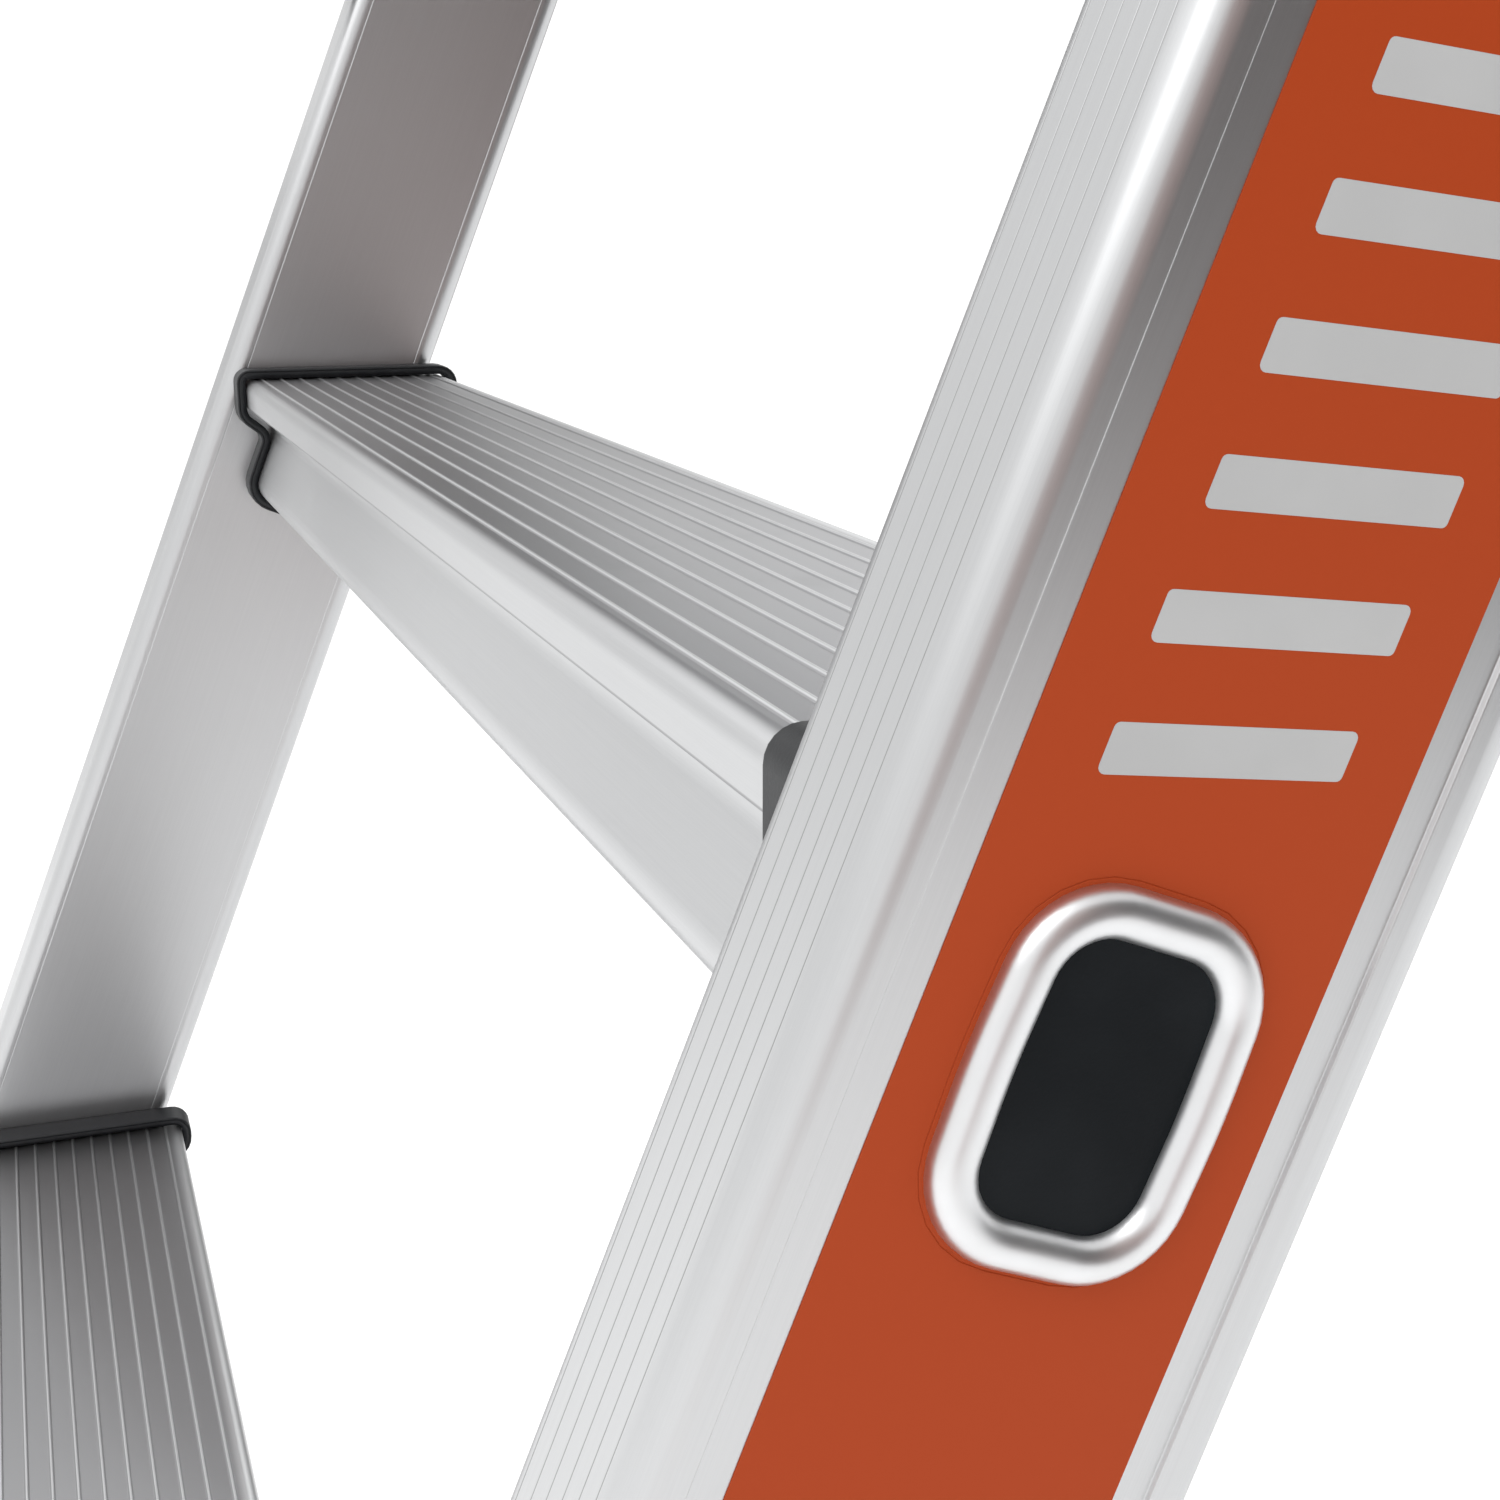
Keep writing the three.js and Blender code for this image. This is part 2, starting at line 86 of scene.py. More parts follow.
def outline(corners: Corners, grow: float = 0.0, steps: int = OUTLINE_STEPS) -> np.ndarray:
    """Closed outline through rounded corners, with every side moved out by a distance.

    Each side of the polygon moves out along its normal, and an arc tangent to the two moved sides
    replaces each corner. A convex arc's radius grows with the offset, and a concave one's shrinks. One
    more point stands a little way along the side at either end of each arc.

    Args:
        corners: x, y and radius of each corner, counter-clockwise.
        grow: distance that the sides move out, or in where it is negative.
        steps: pieces that each arc is divided into.

    Returns:
        Points of the outline, shape (corners times (steps + 3), 2).
    """
    table = np.array(corners, float)
    points, radii = table[:, :2], table[:, 2]
    along = np.roll(points, -1, 0) - points
    along /= np.linalg.norm(along, axis=1)[:, None]
    after = np.stack([along[:, 1], -along[:, 0]], 1)
    before = np.roll(after, 1, 0)
    cosine = (before * after).sum(1)
    turn = np.arctan2(before[:, 0] * after[:, 1] - before[:, 1] * after[:, 0], cosine)
    bend = np.sign(turn)
    radius = np.maximum(radii + bend * grow, TINY)
    mitre = (before + after) / (1 + cosine)[:, None]
    centre = points + mitre * (grow - bend * radius)[:, None]
    angle = np.arctan2(before[:, 1], before[:, 0])[:, None] + turn[:, None] * np.linspace(0, 1, steps + 1)
    rays = np.stack([np.cos(angle), np.sin(angle)], -1)
    arcs = centre[:, None] + (bend * radius)[:, None, None] * rays
    gap = np.linalg.norm(np.roll(arcs[:, 0], -1, 0) - arcs[:, -1], axis=1)
    reach = np.minimum(SUPPORT, gap / 4)
    lead = arcs[:, :1] - (np.roll(along, 1, 0) * np.roll(reach, 1)[:, None])[:, None]
    trail = arcs[:, -1:] + (along * reach[:, None])[:, None]
    return np.concatenate([lead, arcs, trail], 1).reshape(-1, 2)


def rectangle(x0: float, y0: float, x1: float, y1: float, radius: float = 0.0) -> list:
    """Corners of a rectangle, counter-clockwise, each with the same radius."""
    return [(x0, y0, radius), (x1, y0, radius), (x1, y1, radius), (x0, y1, radius)]


def circle(x: float, y: float) -> list:
    """Corners of an almost pointlike circle about a centre, to be grown to its radius."""
    return rectangle(x - TINY, y - TINY, x + TINY, y + TINY, TINY)


def rounded_ends(low: float, high: float, radius: float, steps: int = 4) -> list:
    """Rings of a prism whose two ends are rounded over.

    The offset and the height follow a quarter circle at each end, and one more ring lies a little way
    inside each end face.

    Args:
        low: height of the lower end.
        high: height of the upper end.
        radius: radius of the rounding.
        steps: pieces that each quarter circle is divided into.

    Returns:
        Pairs of the outline's growth and the height, from the lower end to the upper.
    """
    turns = np.linspace(0, math.pi / 2, steps + 1)
    curve = [(radius * (math.sin(t) - 1), radius * (1 - math.cos(t))) for t in turns]
    lower = [(-radius - SUPPORT, low)] + [(grow, low + rise) for grow, rise in curve]
    upper = [(grow, high - rise) for grow, rise in reversed(curve)] + [(-radius - SUPPORT, high)]
    return lower + upper


def leaned(points: np.ndarray, angle: float) -> np.ndarray:
    """Points, or one point, turned about the cross axis by an angle, from z towards x."""
    cosine, sine = math.cos(angle), math.sin(angle)
    return points @ np.array([[cosine, 0, -sine], [0, 1, 0], [sine, 0, cosine]])


class Shell:
    """Closed surfaces of one piece, gathered in the stile frame before they become a mesh."""

    def __init__(self) -> None:
        """Starts with no surface."""
        self.points: list[np.ndarray] = []
        self.faces: list[list[int]] = []
        self.count = 0

    def add(self, grid: np.ndarray, hoop: bool) -> "Shell":
        """Adds the closed surface through a stack of closed rings.

        Point (j, i) of the grid is joined to (j, i + 1), (j + 1, i + 1) and (j + 1, i). The last point
        of a ring meets the first. The last ring meets the first too if the stack is a hoop, and else
        one face closes each end. The faces are turned round if the enclosed volume comes out negative.

        Args:
            grid: points, shape (rings, points in a ring, 3).
            hoop: whether the stack of rings closes on itself.

        Returns:
            The shell itself.
        """
        rings, size = grid.shape[:2]
        index = np.arange(rings * size).reshape(rings, size)
        upper = np.roll(index, -1, 0) if hoop else index[1:]
        lower = index if hoop else index[:-1]
        quads = np.stack([lower, np.roll(lower, -1, 1), np.roll(upper, -1, 1), upper], -1).reshape(-1, 4)
        faces = quads.tolist()
        if not hoop:
            faces += [index[0][::-1].tolist(), index[-1].tolist()]
        flat = grid.reshape(-1, 3)
        if self._volume(flat, faces) < 0:
            faces = [face[::-1] for face in faces]
        self.faces += [[i + self.count for i in face] for face in faces]
        self.points.append(flat)
        self.count += len(flat)
        return self

    @staticmethod
    def _volume(points: np.ndarray, faces: list) -> float:
        """Volume inside the faces, as the sum of the signed tetrahedra from the middle to a fan of each.

        Args:
            points: the points.
            faces: point numbers of each face.

        Returns:
            The volume, negative where the faces look inwards.
        """
        fans = np.array([(f[0], f[k], f[k + 1]) for f in faces for k in range(1, len(f) - 1)])
        a, b, c = (points[fans[:, k]] - points.mean(0) for k in range(3))
        return float((a * np.cross(b, c)).sum() / 6)

    def loft(
        self, corners: Corners, rings: Rings, plane: Plane, hoop: bool = False, steps: int = OUTLINE_STEPS
    ) -> "Shell":
        """Adds an outline carried along, with its own growth at each height.

        Args:
            corners: the outline's corners.
            rings: pairs of the outline's growth and the height.
            plane: plane of the outline.
            hoop: whether the stack of rings closes on itself.
            steps: pieces that each corner's arc is divided into.

        Returns:
            The shell itself.
        """
        stack = np.stack([outline(corners, grow, steps) for grow, _ in rings])
        height = np.broadcast_to(np.array([h for _, h in rings])[:, None], stack.shape[:2])
        if plane is Plane.PLAN:
            return self.add(np.stack([stack[..., 0], stack[..., 1], height], -1), hoop)
        return self.add(np.stack([stack[..., 0], height, stack[..., 1]], -1), hoop)

    def turned(self, angle: float, x: float, z: float) -> "Shell":
        """Turns every surface so far about a cross axis, from z towards x, then moves it."""
        self.points = [leaned(p, angle) + (x, 0, z) for p in self.points]
        return self


# ---------- the two sections and their pieces in Blender ----------


@dataclass
class Section:
    """One section of the ladder, which is one body, placed by its CAD treads.

    The lean and the spacing come from the step between the two lowest treads. The stile frame's
    origin is on the stiles' front plane, level with the lowest tread's nose.
    """

    name: str
    treads: int
    nose_setback: float = 5.5
    lean: float = field(init=False)
    pitch: float = field(init=False)
    origin: np.ndarray = field(init=False)

    def __post_init__(self) -> None:
        """Reads the lean, the spacing and the origin from the CAD treads."""
        (low, high), (next_low, next_high) = (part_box(f"{self.name}_tread_{n}") for n in (1, 2))
        across, up = next_low.x - low.x, next_high.z - high.z
        self.lean = math.atan2(across, up)
        self.pitch = math.hypot(across, up) / MM
        back = self.nose_setback * MM
        self.origin = np.array([low.x - back * math.cos(self.lean), 0, high.z + back * math.sin(self.lean)])

    def place(self, points: np.ndarray) -> np.ndarray:
        """Points of the stile frame in the row frame, leaned back and moved to the section's origin."""
        return leaned(points, self.lean) * MM + self.origin

    def middle(self, node: str) -> np.ndarray:
        """Middle of a node's box, in the stile frame."""
        low, high = (np.array(end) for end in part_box(node))
        return leaned(((low + high) / 2 - self.origin) / MM, -self.lean)

    def span(self, node: str, front: float, rear: float) -> tuple[float, float]:
        """Lower and upper ends along the stile of a node cut square at x from front to rear.

        Args:
            node: the CAD node.
            front: its front end along x.
            rear: its rear end along x.

        Returns:
            Heights of the two ends.
        """
        low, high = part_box(node)
        sine, cosine = math.sin(self.lean), math.cos(self.lean)
        start = ((low.z - self.origin[2]) / MM + rear * sine) / cosine
        end = ((high.z - self.origin[2]) / MM + front * sine) / cosine
        return start, end

    def heights(self) -> np.ndarray:
        """Nose heights of the treads along the stile."""
        return self.pitch * np.arange(self.treads)

    def level(self, u: float, v: float, radius: float = 0.0) -> tuple[float, float, float]:
        """Corner at u behind and v above a tread's nose, on level axes, in the stile frame."""
        sine, cosine = math.sin(self.lean), math.cos(self.lean)
        return (self.nose_setback + u * cosine - v * sine, u * sine + v * cosine, radius)

    def level_at(self, x: float, v: float, radius: float = 0.0) -> tuple[float, float, float]:
        """Corner where the level line v above a tread's nose crosses x."""
        sine, cosine = math.sin(self.lean), math.cos(self.lean)
        return self.level((x - self.nose_setback + v * sine) / cosine, v, radius)

    def floor_at(self, x: float) -> float:
        """Height along the stile at which the floor crosses x."""
        return x * math.tan(self.lean) - self.origin[2] / MM / math.cos(self.lean)


class Piece:
    """One finished piece: its mesh, its finish, the body it rides on and the nodes it stands for."""

    def __init__(self, section: Section, name: str, body: str = "") -> None:
        """Names the piece and the body it rides on, which is the section's own unless it is given.

        Args:
            section: the section in whose frame it is drawn.
            name: the piece's name.
            body: the body, if it isn't the section's.
        """
        self.section = section
        self.name = name
        self.body = body or section.name

    def make(
        self, shell: Shell, finish: "Finish", side: Side = Side.LEFT, stands_for: Sequence[str] = ()
    ) -> bpy.types.Object:
        """Makes the mesh, smooths it between its sharp edges and gives it its finish and place.

        Args:
            shell: the piece's surfaces, drawn for the left-hand side.
            finish: the finish that it gets.
            side: the right-hand side is the mirror image, with its faces turned round.
            stands_for: CAD nodes that aren't shown any more.

        Returns:
            The object.
        """
        points = np.concatenate(shell.points) * np.array([1, side.value, 1])
        faces = shell.faces if side is Side.LEFT else [face[::-1] for face in shell.faces]
        mesh = bpy.data.meshes.new(self.name)
        mesh.from_pydata(self.section.place(points), [], faces)
        mesh.polygons.foreach_set("use_smooth", np.ones(len(faces), bool))
        mesh.set_sharp_from_angle(angle=SHARP)
        mesh.validate()
        mesh.materials.append(finish.material())
        piece = bpy.data.objects.new(self.name, mesh)
        bpy.context.scene.collection.objects.link(piece)
        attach(piece, self.body)
        if stands_for:
            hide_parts(*stands_for)
        log.info("%s: %d faces in %s", self.name, len(faces), finish.slot)
        return piece


def mark_painted_shade(piece: bpy.types.Object, shade_amounts: np.ndarray) -> None:
    """Stores how much painted shade darkens the drawn metal's colour at each point."""
    layer = piece.data.attributes.new(PAINTED_SHADE_ATTRIBUTE, "FLOAT", "POINT")
    layer.data.foreach_set("value", shade_amounts.astype(np.float32))


# ---------- shader maths and finishes ----------


class Wave:
    """A shader socket that Python's operators work on; each operator adds its Math node."""

    def __init__(self, shader: "Shader", socket: bpy.types.NodeSocket) -> None:
        """Keeps the socket and the shader it belongs to."""
        self.shader = shader
        self.socket = socket

    def _join(self, operation: str, first: "Wave | float", second: "Wave | float") -> "Wave":
        """The Math node of an operation on two values."""
        return self.shader.node("ShaderNodeMath", {"operation": operation}, {0: first, 1: second})

    def __add__(self, other: "Wave | float") -> "Wave":
        """Sum."""
        return self._join("ADD", self, other)

    __radd__ = __add__

    def __sub__(self, other: "Wave | float") -> "Wave":
        """Difference."""
        return self._join("SUBTRACT", self, other)

    def __rsub__(self, other: "Wave | float") -> "Wave":
        """Difference from a number."""
        return self._join("SUBTRACT", other, self)

    def __mul__(self, other: "Wave | float") -> "Wave":
        """Product."""
        return self._join("MULTIPLY", self, other)

    __rmul__ = __mul__

    def ramp(self, start: float, end: float) -> "Wave":
        """Nought below start, one above end and smooth between."""
        settings = {"interpolation_type": "SMOOTHSTEP"}
        return self.shader.node("ShaderNodeMapRange", settings, {0: self, 1: start, 2: end})


class Shader:
    """A node material around one Principled BSDF."""

    def __init__(self, name: str) -> None:
        """Makes an empty material with its shader and output.

        Args:
            name: the material's name.
        """
        self.material = bpy.data.materials.new(name)
        self.material.use_nodes = True
        self.tree = self.material.node_tree
        self.tree.nodes.clear()
        self.surface = self.tree.nodes.new("ShaderNodeBsdfPrincipled")
        output = self.tree.nodes.new("ShaderNodeOutputMaterial")
        self.tree.links.new(self.surface.outputs["BSDF"], output.inputs["Surface"])

    @classmethod
    def of_tree(cls, tree: bpy.types.NodeTree) -> "Shader":
        """A shader that only adds nodes to a tree that has none yet.

        Args:
            tree: the empty node tree.

        Returns:
            The shader, with no surface of its own.
        """
        shader = cls.__new__(cls)
        shader.tree = tree
        return shader

    def _feed(self, socket: bpy.types.NodeSocket, value: object) -> None:
        """Links a wave to a socket, or sets a plain value on it.

        Args:
            socket: the input.
            value: what goes into it.
        """
        if isinstance(value, Wave):
            self.tree.links.new(value.socket, socket)
        else:
            socket.default_value = value

    def node(self, kind: str, settings: dict, inputs: dict, output: int | str = 0) -> Wave:
        """Adds any node.

        Args:
            kind: the node's type.
            settings: attributes to set before the sockets are read.
            inputs: values or links by socket name or number.
            output: name or number of the output that is wanted.

        Returns:
            That output.
        """
        made = self.tree.nodes.new(kind)
        for key, value in settings.items():
            setattr(made, key, value)
        for key, value in inputs.items():
            self._feed(made.inputs[key], value)
        return Wave(self, made.outputs[output])

    def mix(self, factor: "Wave | float", first: "Wave | tuple", second: "Wave | tuple") -> Wave:
        """Colour between two colours."""
        settings = {"data_type": "RGBA"}
        return self.node("ShaderNodeMix", settings, {0: factor, 6: first, 7: second}, 2)

    def place(self, lean: float = 0.0, scale: tuple = (1.0, 1.0, 1.0)) -> Wave:
        """Object coordinates, turned upright by the lean and then stretched.

        Args:
            lean: angle from the vertical of the direction that becomes z.
            scale: factor along each turned axis.

        Returns:
            The vector.
        """
        start = self.node("ShaderNodeTexCoord", {}, {}, "Object")
        upright = self.node("ShaderNodeMapping", {}, {"Vector": start, "Rotation": (0, -lean, 0)})
        return self.node("ShaderNodeVectorMath", {"operation": "MULTIPLY"}, {0: upright, 1: scale})

    def noise(self, vector: Wave, scale: float, detail: float = 2.0, rough: float = 0.5) -> Wave:
        """Noise between nought and one."""
        sockets = {"Vector": vector, "Scale": scale, "Detail": detail, "Roughness": rough}
        return self.node("ShaderNodeTexNoise", {}, sockets, 0)

    def bump(self, height: Wave, strength: float, distance: float) -> None:
        """Feeds a height in metres times distance into the surface's normal."""
        sockets = {"Strength": strength, "Distance": distance, "Height": height}
        self.set(Normal=self.node("ShaderNodeBump", {}, sockets))

    def set(self, **values: object) -> None:
        """Sets or links the surface's sockets; an underscore in a name stands for a space."""
        for key, value in values.items():
            self._feed(self.surface.inputs[key.replace("_", " ")], value)


def grey(level: float) -> tuple[float, float, float, float]:
    """Neutral colour."""
    return (level, level, level, 1.0)


@dataclass(frozen=True)
class Finish:
    """What every finish has: the record's slot, and one material made the first time it is used."""

    name: str
    slot: str

    def material(self) -> bpy.types.Material:
        """The finish's material."""
        return bpy.data.materials.get(self.name) or self.dress(Shader(self.name)).material

    def dress(self, shader: Shader) -> Shader:
        """Fills in the shader's nodes."""
        raise NotImplementedError


@dataclass(frozen=True)
class DrawnAluminium(Finish):
    """Satin extruded aluminium with fine lines along the way it was drawn.

    Noise squeezed hard across the draw and stretched along it gives the lines. A broad noise gives the
    slow change of gloss along a bar, and a third one a few handling smudges. Marked points get painted
    shade: their colour is darker and duller.
    """

    colour: tuple = (0.595, 0.60, 0.606, 1.0)
    shade: tuple = (0.56, 0.565, 0.572, 1.0)
    # colour of the painted shade that marked points take
    dull: tuple = (0.345, 0.345, 0.353, 1.0)
    roughness: float = 0.34
    lean: float = 0.0
    stretch: tuple = (5200.0, 5200.0, 30.0)
    swell: tuple = (7.0, 7.0, 2.2)  # scale of the broad noise along each axis
    smudges: float = 38.0
    line_share: float = 0.55  # share of the lines in the colour, against the broad noise
    relief: float = 0.1
    line_depth: float = 0.000004

    def dress(self, shader: Shader) -> Shader:
        """Lines in colour, roughness and bump, with broad changes of gloss, and painted shade at marked
        points.

        Args:
            shader: the new material, with no colour yet.

        Returns:
            The same shader, filled in.
        """
        lines = shader.noise(shader.place(self.lean, self.stretch), 1.0, 3.0, 0.6)
        broad = shader.noise(shader.place(self.lean, self.swell), 1.0, 2.0)
        smudge = shader.noise(shader.place(self.lean), self.smudges, 4.0, 0.62).ramp(0.56, 0.8)
        tone = lines * self.line_share + broad * (1 - self.line_share)
        metal = shader.mix(tone.ramp(0.3, 0.7), self.shade, self.colour)
        # painted shade: marked points, such as groove floors, the feet of ribs and the nose's lip, take the
        # darker colour
        shade_mark = shader.node("ShaderNodeAttribute", {"attribute_name": PAINTED_SHADE_ATTRIBUTE}, {}, "Fac")
        shader.set(
            Base_Color=shader.mix(shade_mark, metal, self.dull),
            Metallic=1.0,
            Roughness=self.roughness + (lines - 0.5) * 0.04 + (broad - 0.5) * 0.06 + smudge * 0.04,
        )
        shader.bump(lines, self.relief, self.line_depth)
        return shader


@dataclass(frozen=True)
class Grained(Finish):
    """Surface with a fine grain and a slow change of colour and gloss.

    A broad noise, with a share of the fine one, mixes the two colours. Both noises change the gloss,
    and the fine one is the grain's height.
    """

    colour: tuple = grey(0.1)
    other: tuple = grey(0.2)
    metallic: float = 0.0
    gloss: float = 0.5
    roughness: float = 0.5
    broad: float = 45.0
    spread: tuple = (0.3, 0.7)  # broad noise between which the colour changes
    grain: float = 1500.0
    grain_detail: tuple = (3.0, 0.6)
    grain_share: float = 0.0
    unevenness: tuple = (0.1, 0.1)  # change of roughness by the broad noise and by the grain
    relief: float = 0.5
    grain_depth: float = 0.00004

    def dress(self, shader: Shader) -> Shader:
        """Colour, gloss and relief from the two noises.

        Args:
            shader: the new material, with no colour yet.

        Returns:
            The same shader, filled in.
        """
        place = shader.place()
        broad = shader.noise(place, self.broad, 3.0)
        grain = shader.noise(place, self.grain, *self.grain_detail)
        tone = broad * (1 - self.grain_share) + grain * self.grain_share
        slow, fine = self.unevenness
        shader.set(
            Base_Color=shader.mix(tone.ramp(*self.spread), self.colour, self.other),
            Metallic=self.metallic,
            Specular_IOR_Level=self.gloss,
            Roughness=self.roughness + (broad - 0.5) * slow + (grain - 0.5) * fine,
        )
        shader.bump(grain, self.relief, self.grain_depth)
        return shader


@dataclass(frozen=True)
class MouldedPlastic(Grained):
    """Moulded black plastic with a fine eroded grain."""

    colour: tuple = (0.011, 0.012, 0.014, 1.0)
    other: tuple = (0.018, 0.019, 0.021, 1.0)
    gloss: float = 0.35
    roughness: float = 0.46
    spread: tuple = (0.35, 0.75)
    grain: float = 2400.0
    unevenness: tuple = (0.16, 0.1)


@dataclass(frozen=True)
class CastAluminium(Grained):
    """Cast aluminium, lightly blasted: a matt grey metal with fine pits."""

    colour: tuple = (0.47, 0.48, 0.49, 1.0)
    other: tuple = (0.60, 0.61, 0.62, 1.0)
    metallic: float = 1.0
    broad: float = 70.0
    grain_detail: tuple = (4.0, 0.7)
    grain_share: float = 0.5
    unevenness: tuple = (0.0, 0.2)
    grain_depth: float = 0.00005


@dataclass(frozen=True)
class PolishedMetal(Grained):
    """Smooth metal of the swaged rims, rivets and pins, with a faint uneven gloss."""

    colour: tuple = (0.76, 0.765, 0.775, 1.0)
    other: tuple = (0.83, 0.83, 0.835, 1.0)
    metallic: float = 1.0
    roughness: float = 0.28
    broad: float = 160.0
    grain: float = 1800.0
    unevenness: tuple = (0.1, 0.06)
    relief: float = 0.2
    grain_depth: float = 0.00001


@dataclass(frozen=True)
class MouldedRubber(Finish):
    """Dark rubber, dull, with a coarse moulded grain and a little dust."""

    colour: tuple = (0.022, 0.022, 0.023, 1.0)
    dust: tuple = (0.085, 0.082, 0.078, 1.0)
    roughness: float = 0.78
    grain: float = 1300.0
    patches: float = 60.0
    grain_depth: float = 0.00008

    def dress(self, shader: Shader) -> Shader:
        """Grain in bump, and dust in colour and gloss.

        Args:
            shader: the new material, with no colour yet.

        Returns:
            The same shader, filled in.
        """
        place = shader.place()
        grain = shader.noise(place, self.grain, 3.0, 0.65)
        dust = shader.noise(place, self.patches, 5.0, 0.65).ramp(0.52, 0.85)
        shader.set(
            Base_Color=shader.mix(dust * 0.6, self.colour, self.dust),
            Roughness=self.roughness + dust * 0.14 + (grain - 0.5) * 0.1,
        )
        shader.bump(grain, 0.6, self.grain_depth)
        return shader


@dataclass(frozen=True)
class PrintedFilm(Finish):
    """Printed plastic film under a thin clear coat; its colour changes slowly up the stile as painted
    shade, lighter below and darker above.
    """

    # painted shade: the lower colour is lighter and paler, the upper one darker
    lower: tuple = (0.375, 0.055, 0.016, 1.0)
    upper: tuple = (0.355, 0.040, 0.003, 1.0)
    lean: float = 0.0
    start: float = 0.6  # distances up the stile between which the painted shade changes the colour, in metres
    end: float = 0.9
    roughness: float = 0.42
    gloss: float = 0.06
    peel: float = 900.0
    peel_depth: float = 0.00001
    patches: float = 30.0

    def dress(self, shader: Shader) -> Shader:
        """Colour by the distance up the stile, which paints shade onto its upper end, with a very fine
        orange-peel bump.

        Args:
            shader: the new material, with no colour yet.

        Returns:
            The same shader, filled in.
        """
        along = shader.place(self.lean)
        up = shader.node("ShaderNodeSeparateXYZ", {}, {0: along}, "Z")
        peel = shader.noise(shader.place(), self.peel, 2.0)
        broad = shader.noise(shader.place(), self.patches, 3.0)
        shader.set(
            Base_Color=shader.mix(up.ramp(self.start, self.end), self.lower, self.upper),
            Roughness=self.roughness + (broad - 0.5) * 0.1,
            Specular_IOR_Level=self.gloss,
        )
        shader.bump(peel, 0.15, self.peel_depth)
        return shader


@dataclass(frozen=True)
class PaleFloor(Finish):
    """Plain pale studio floor, lit a little from below."""

    colour: tuple = grey(0.90)
    mottled: tuple = grey(0.93)
    glow: float = 0.12

    def dress(self, shader: Shader) -> Shader:
        """Near-white, dull, with a barely visible mottle.

        Args:
            shader: the new material, with no colour yet.

        Returns:
            The same shader, filled in.
        """
        mottle = shader.noise(shader.place(), 3.0, 4.0)
        shader.set(Base_Color=shader.mix(mottle, self.colour, self.mottled), Roughness=0.9)
        shader.set(Specular_IOR_Level=0.1, Emission_Color=grey(1.0), Emission_Strength=self.glow)
        return shader


@dataclass(frozen=True)
class DullCard(Finish):
    """Dark studio card with a faint glow, which may be warmer at its front end."""

    front: tuple = grey(0.03)
    rear: tuple = grey(0.03)
    start: float = -1.95  # distances from the card's middle between which the glow changes, in metres
    end: float = -1.15

    def dress(self, shader: Shader) -> Shader:
        """Faint glow on a black ground.

        Args:
            shader: the new material, with no colour yet.

        Returns:
            The same shader, filled in.
        """
        along = shader.node("ShaderNodeSeparateXYZ", {}, {0: shader.place()}, "X")
        glow = shader.mix(along.ramp(self.start, self.end), self.front, self.rear)
        shader.set(Base_Color=grey(0.02), Roughness=1.0, Emission_Color=glow, Emission_Strength=1.0)
        return shader


class Finishes:
    """All finishes of the ladder; those that follow the stiles need their lean."""

    def __init__(self, lean: float) -> None:
        """Sets the sizes and colours of each finish.

        Args:
            lean: how far the stiles lean back, in radians.
        """
        across = (5200.0, 30.0, 5200.0)  # the treads are drawn across the ladder
        plug = {"colour": (0.004, 0.0055, 0.007, 1.0), "other": (0.009, 0.011, 0.013, 1.0)}
        print_tones = {"colour": grey(0.42), "other": grey(0.45)}
        # the stiles' painted shade in their groove floors is darker than the treads'
        self.stile = DrawnAluminium("stile_satin", "stile_aluminium", lean=lean, dull=grey(0.3))
        self.tread = DrawnAluminium("tread_satin", "tread_aluminium", stretch=across, roughness=0.36)
        self.rim = PolishedMetal(
            "swaged_rim", "tread_aluminium", other=(0.74, 0.745, 0.75, 1.0), roughness=0.36
        )
        self.rivet = PolishedMetal("rivet_head", "pin_steel")
        self.pin = PolishedMetal("zinc_pin", "pin_steel", other=(0.7, 0.71, 0.73, 1.0), roughness=0.3)
        self.collar = MouldedPlastic("collar_black", "collar_plastic")
        self.plug = MouldedPlastic(
            "plug_black", "cap_plastic", **plug, gloss=0.1, roughness=0.36, grain=3000.0
        )
        self.cap = MouldedPlastic("cap_black", "cap_plastic", roughness=0.5)
        self.guide = MouldedPlastic("guide_black", "guide_plastic", roughness=0.55, grain=1600.0)
        self.foot = MouldedRubber("foot_rubber_dark", "foot_rubber")
        self.lock = CastAluminium("lock_cast", "lock_casting")
        self.film = PrintedFilm("label_orange", "label_film", lean=lean)
        self.ink = MouldedPlastic("label_ink", "label_film", **print_tones, grain_depth=0.000004)


# ---------- sub-assemblies ----------


def pair(
    section: Section, name: str, shell: Shell, finish: Finish, node: str = "", body: str = ""
) -> list[bpy.types.Object]:
    """Makes a piece on both sides of the ladder; an asterisk in a name stands for left or right.

    Args:
        section: the section that the piece belongs to.
        name: the piece's name.
        shell: its surfaces on the left-hand side.
        finish: its finish.
        node: the CAD node that it stands for, if there is one.
        body: the body that it rides on, if that isn't the section's.

    Returns:
        The left-hand object and the right-hand one.
    """
    made = []
    for side in Side:
        word = side.name.lower()
        piece = Piece(section, name.replace("*", word), body.replace("*", word))
        made.append(piece.make(shell, finish, side, [node.replace("*", word)] if node else []))
    return made


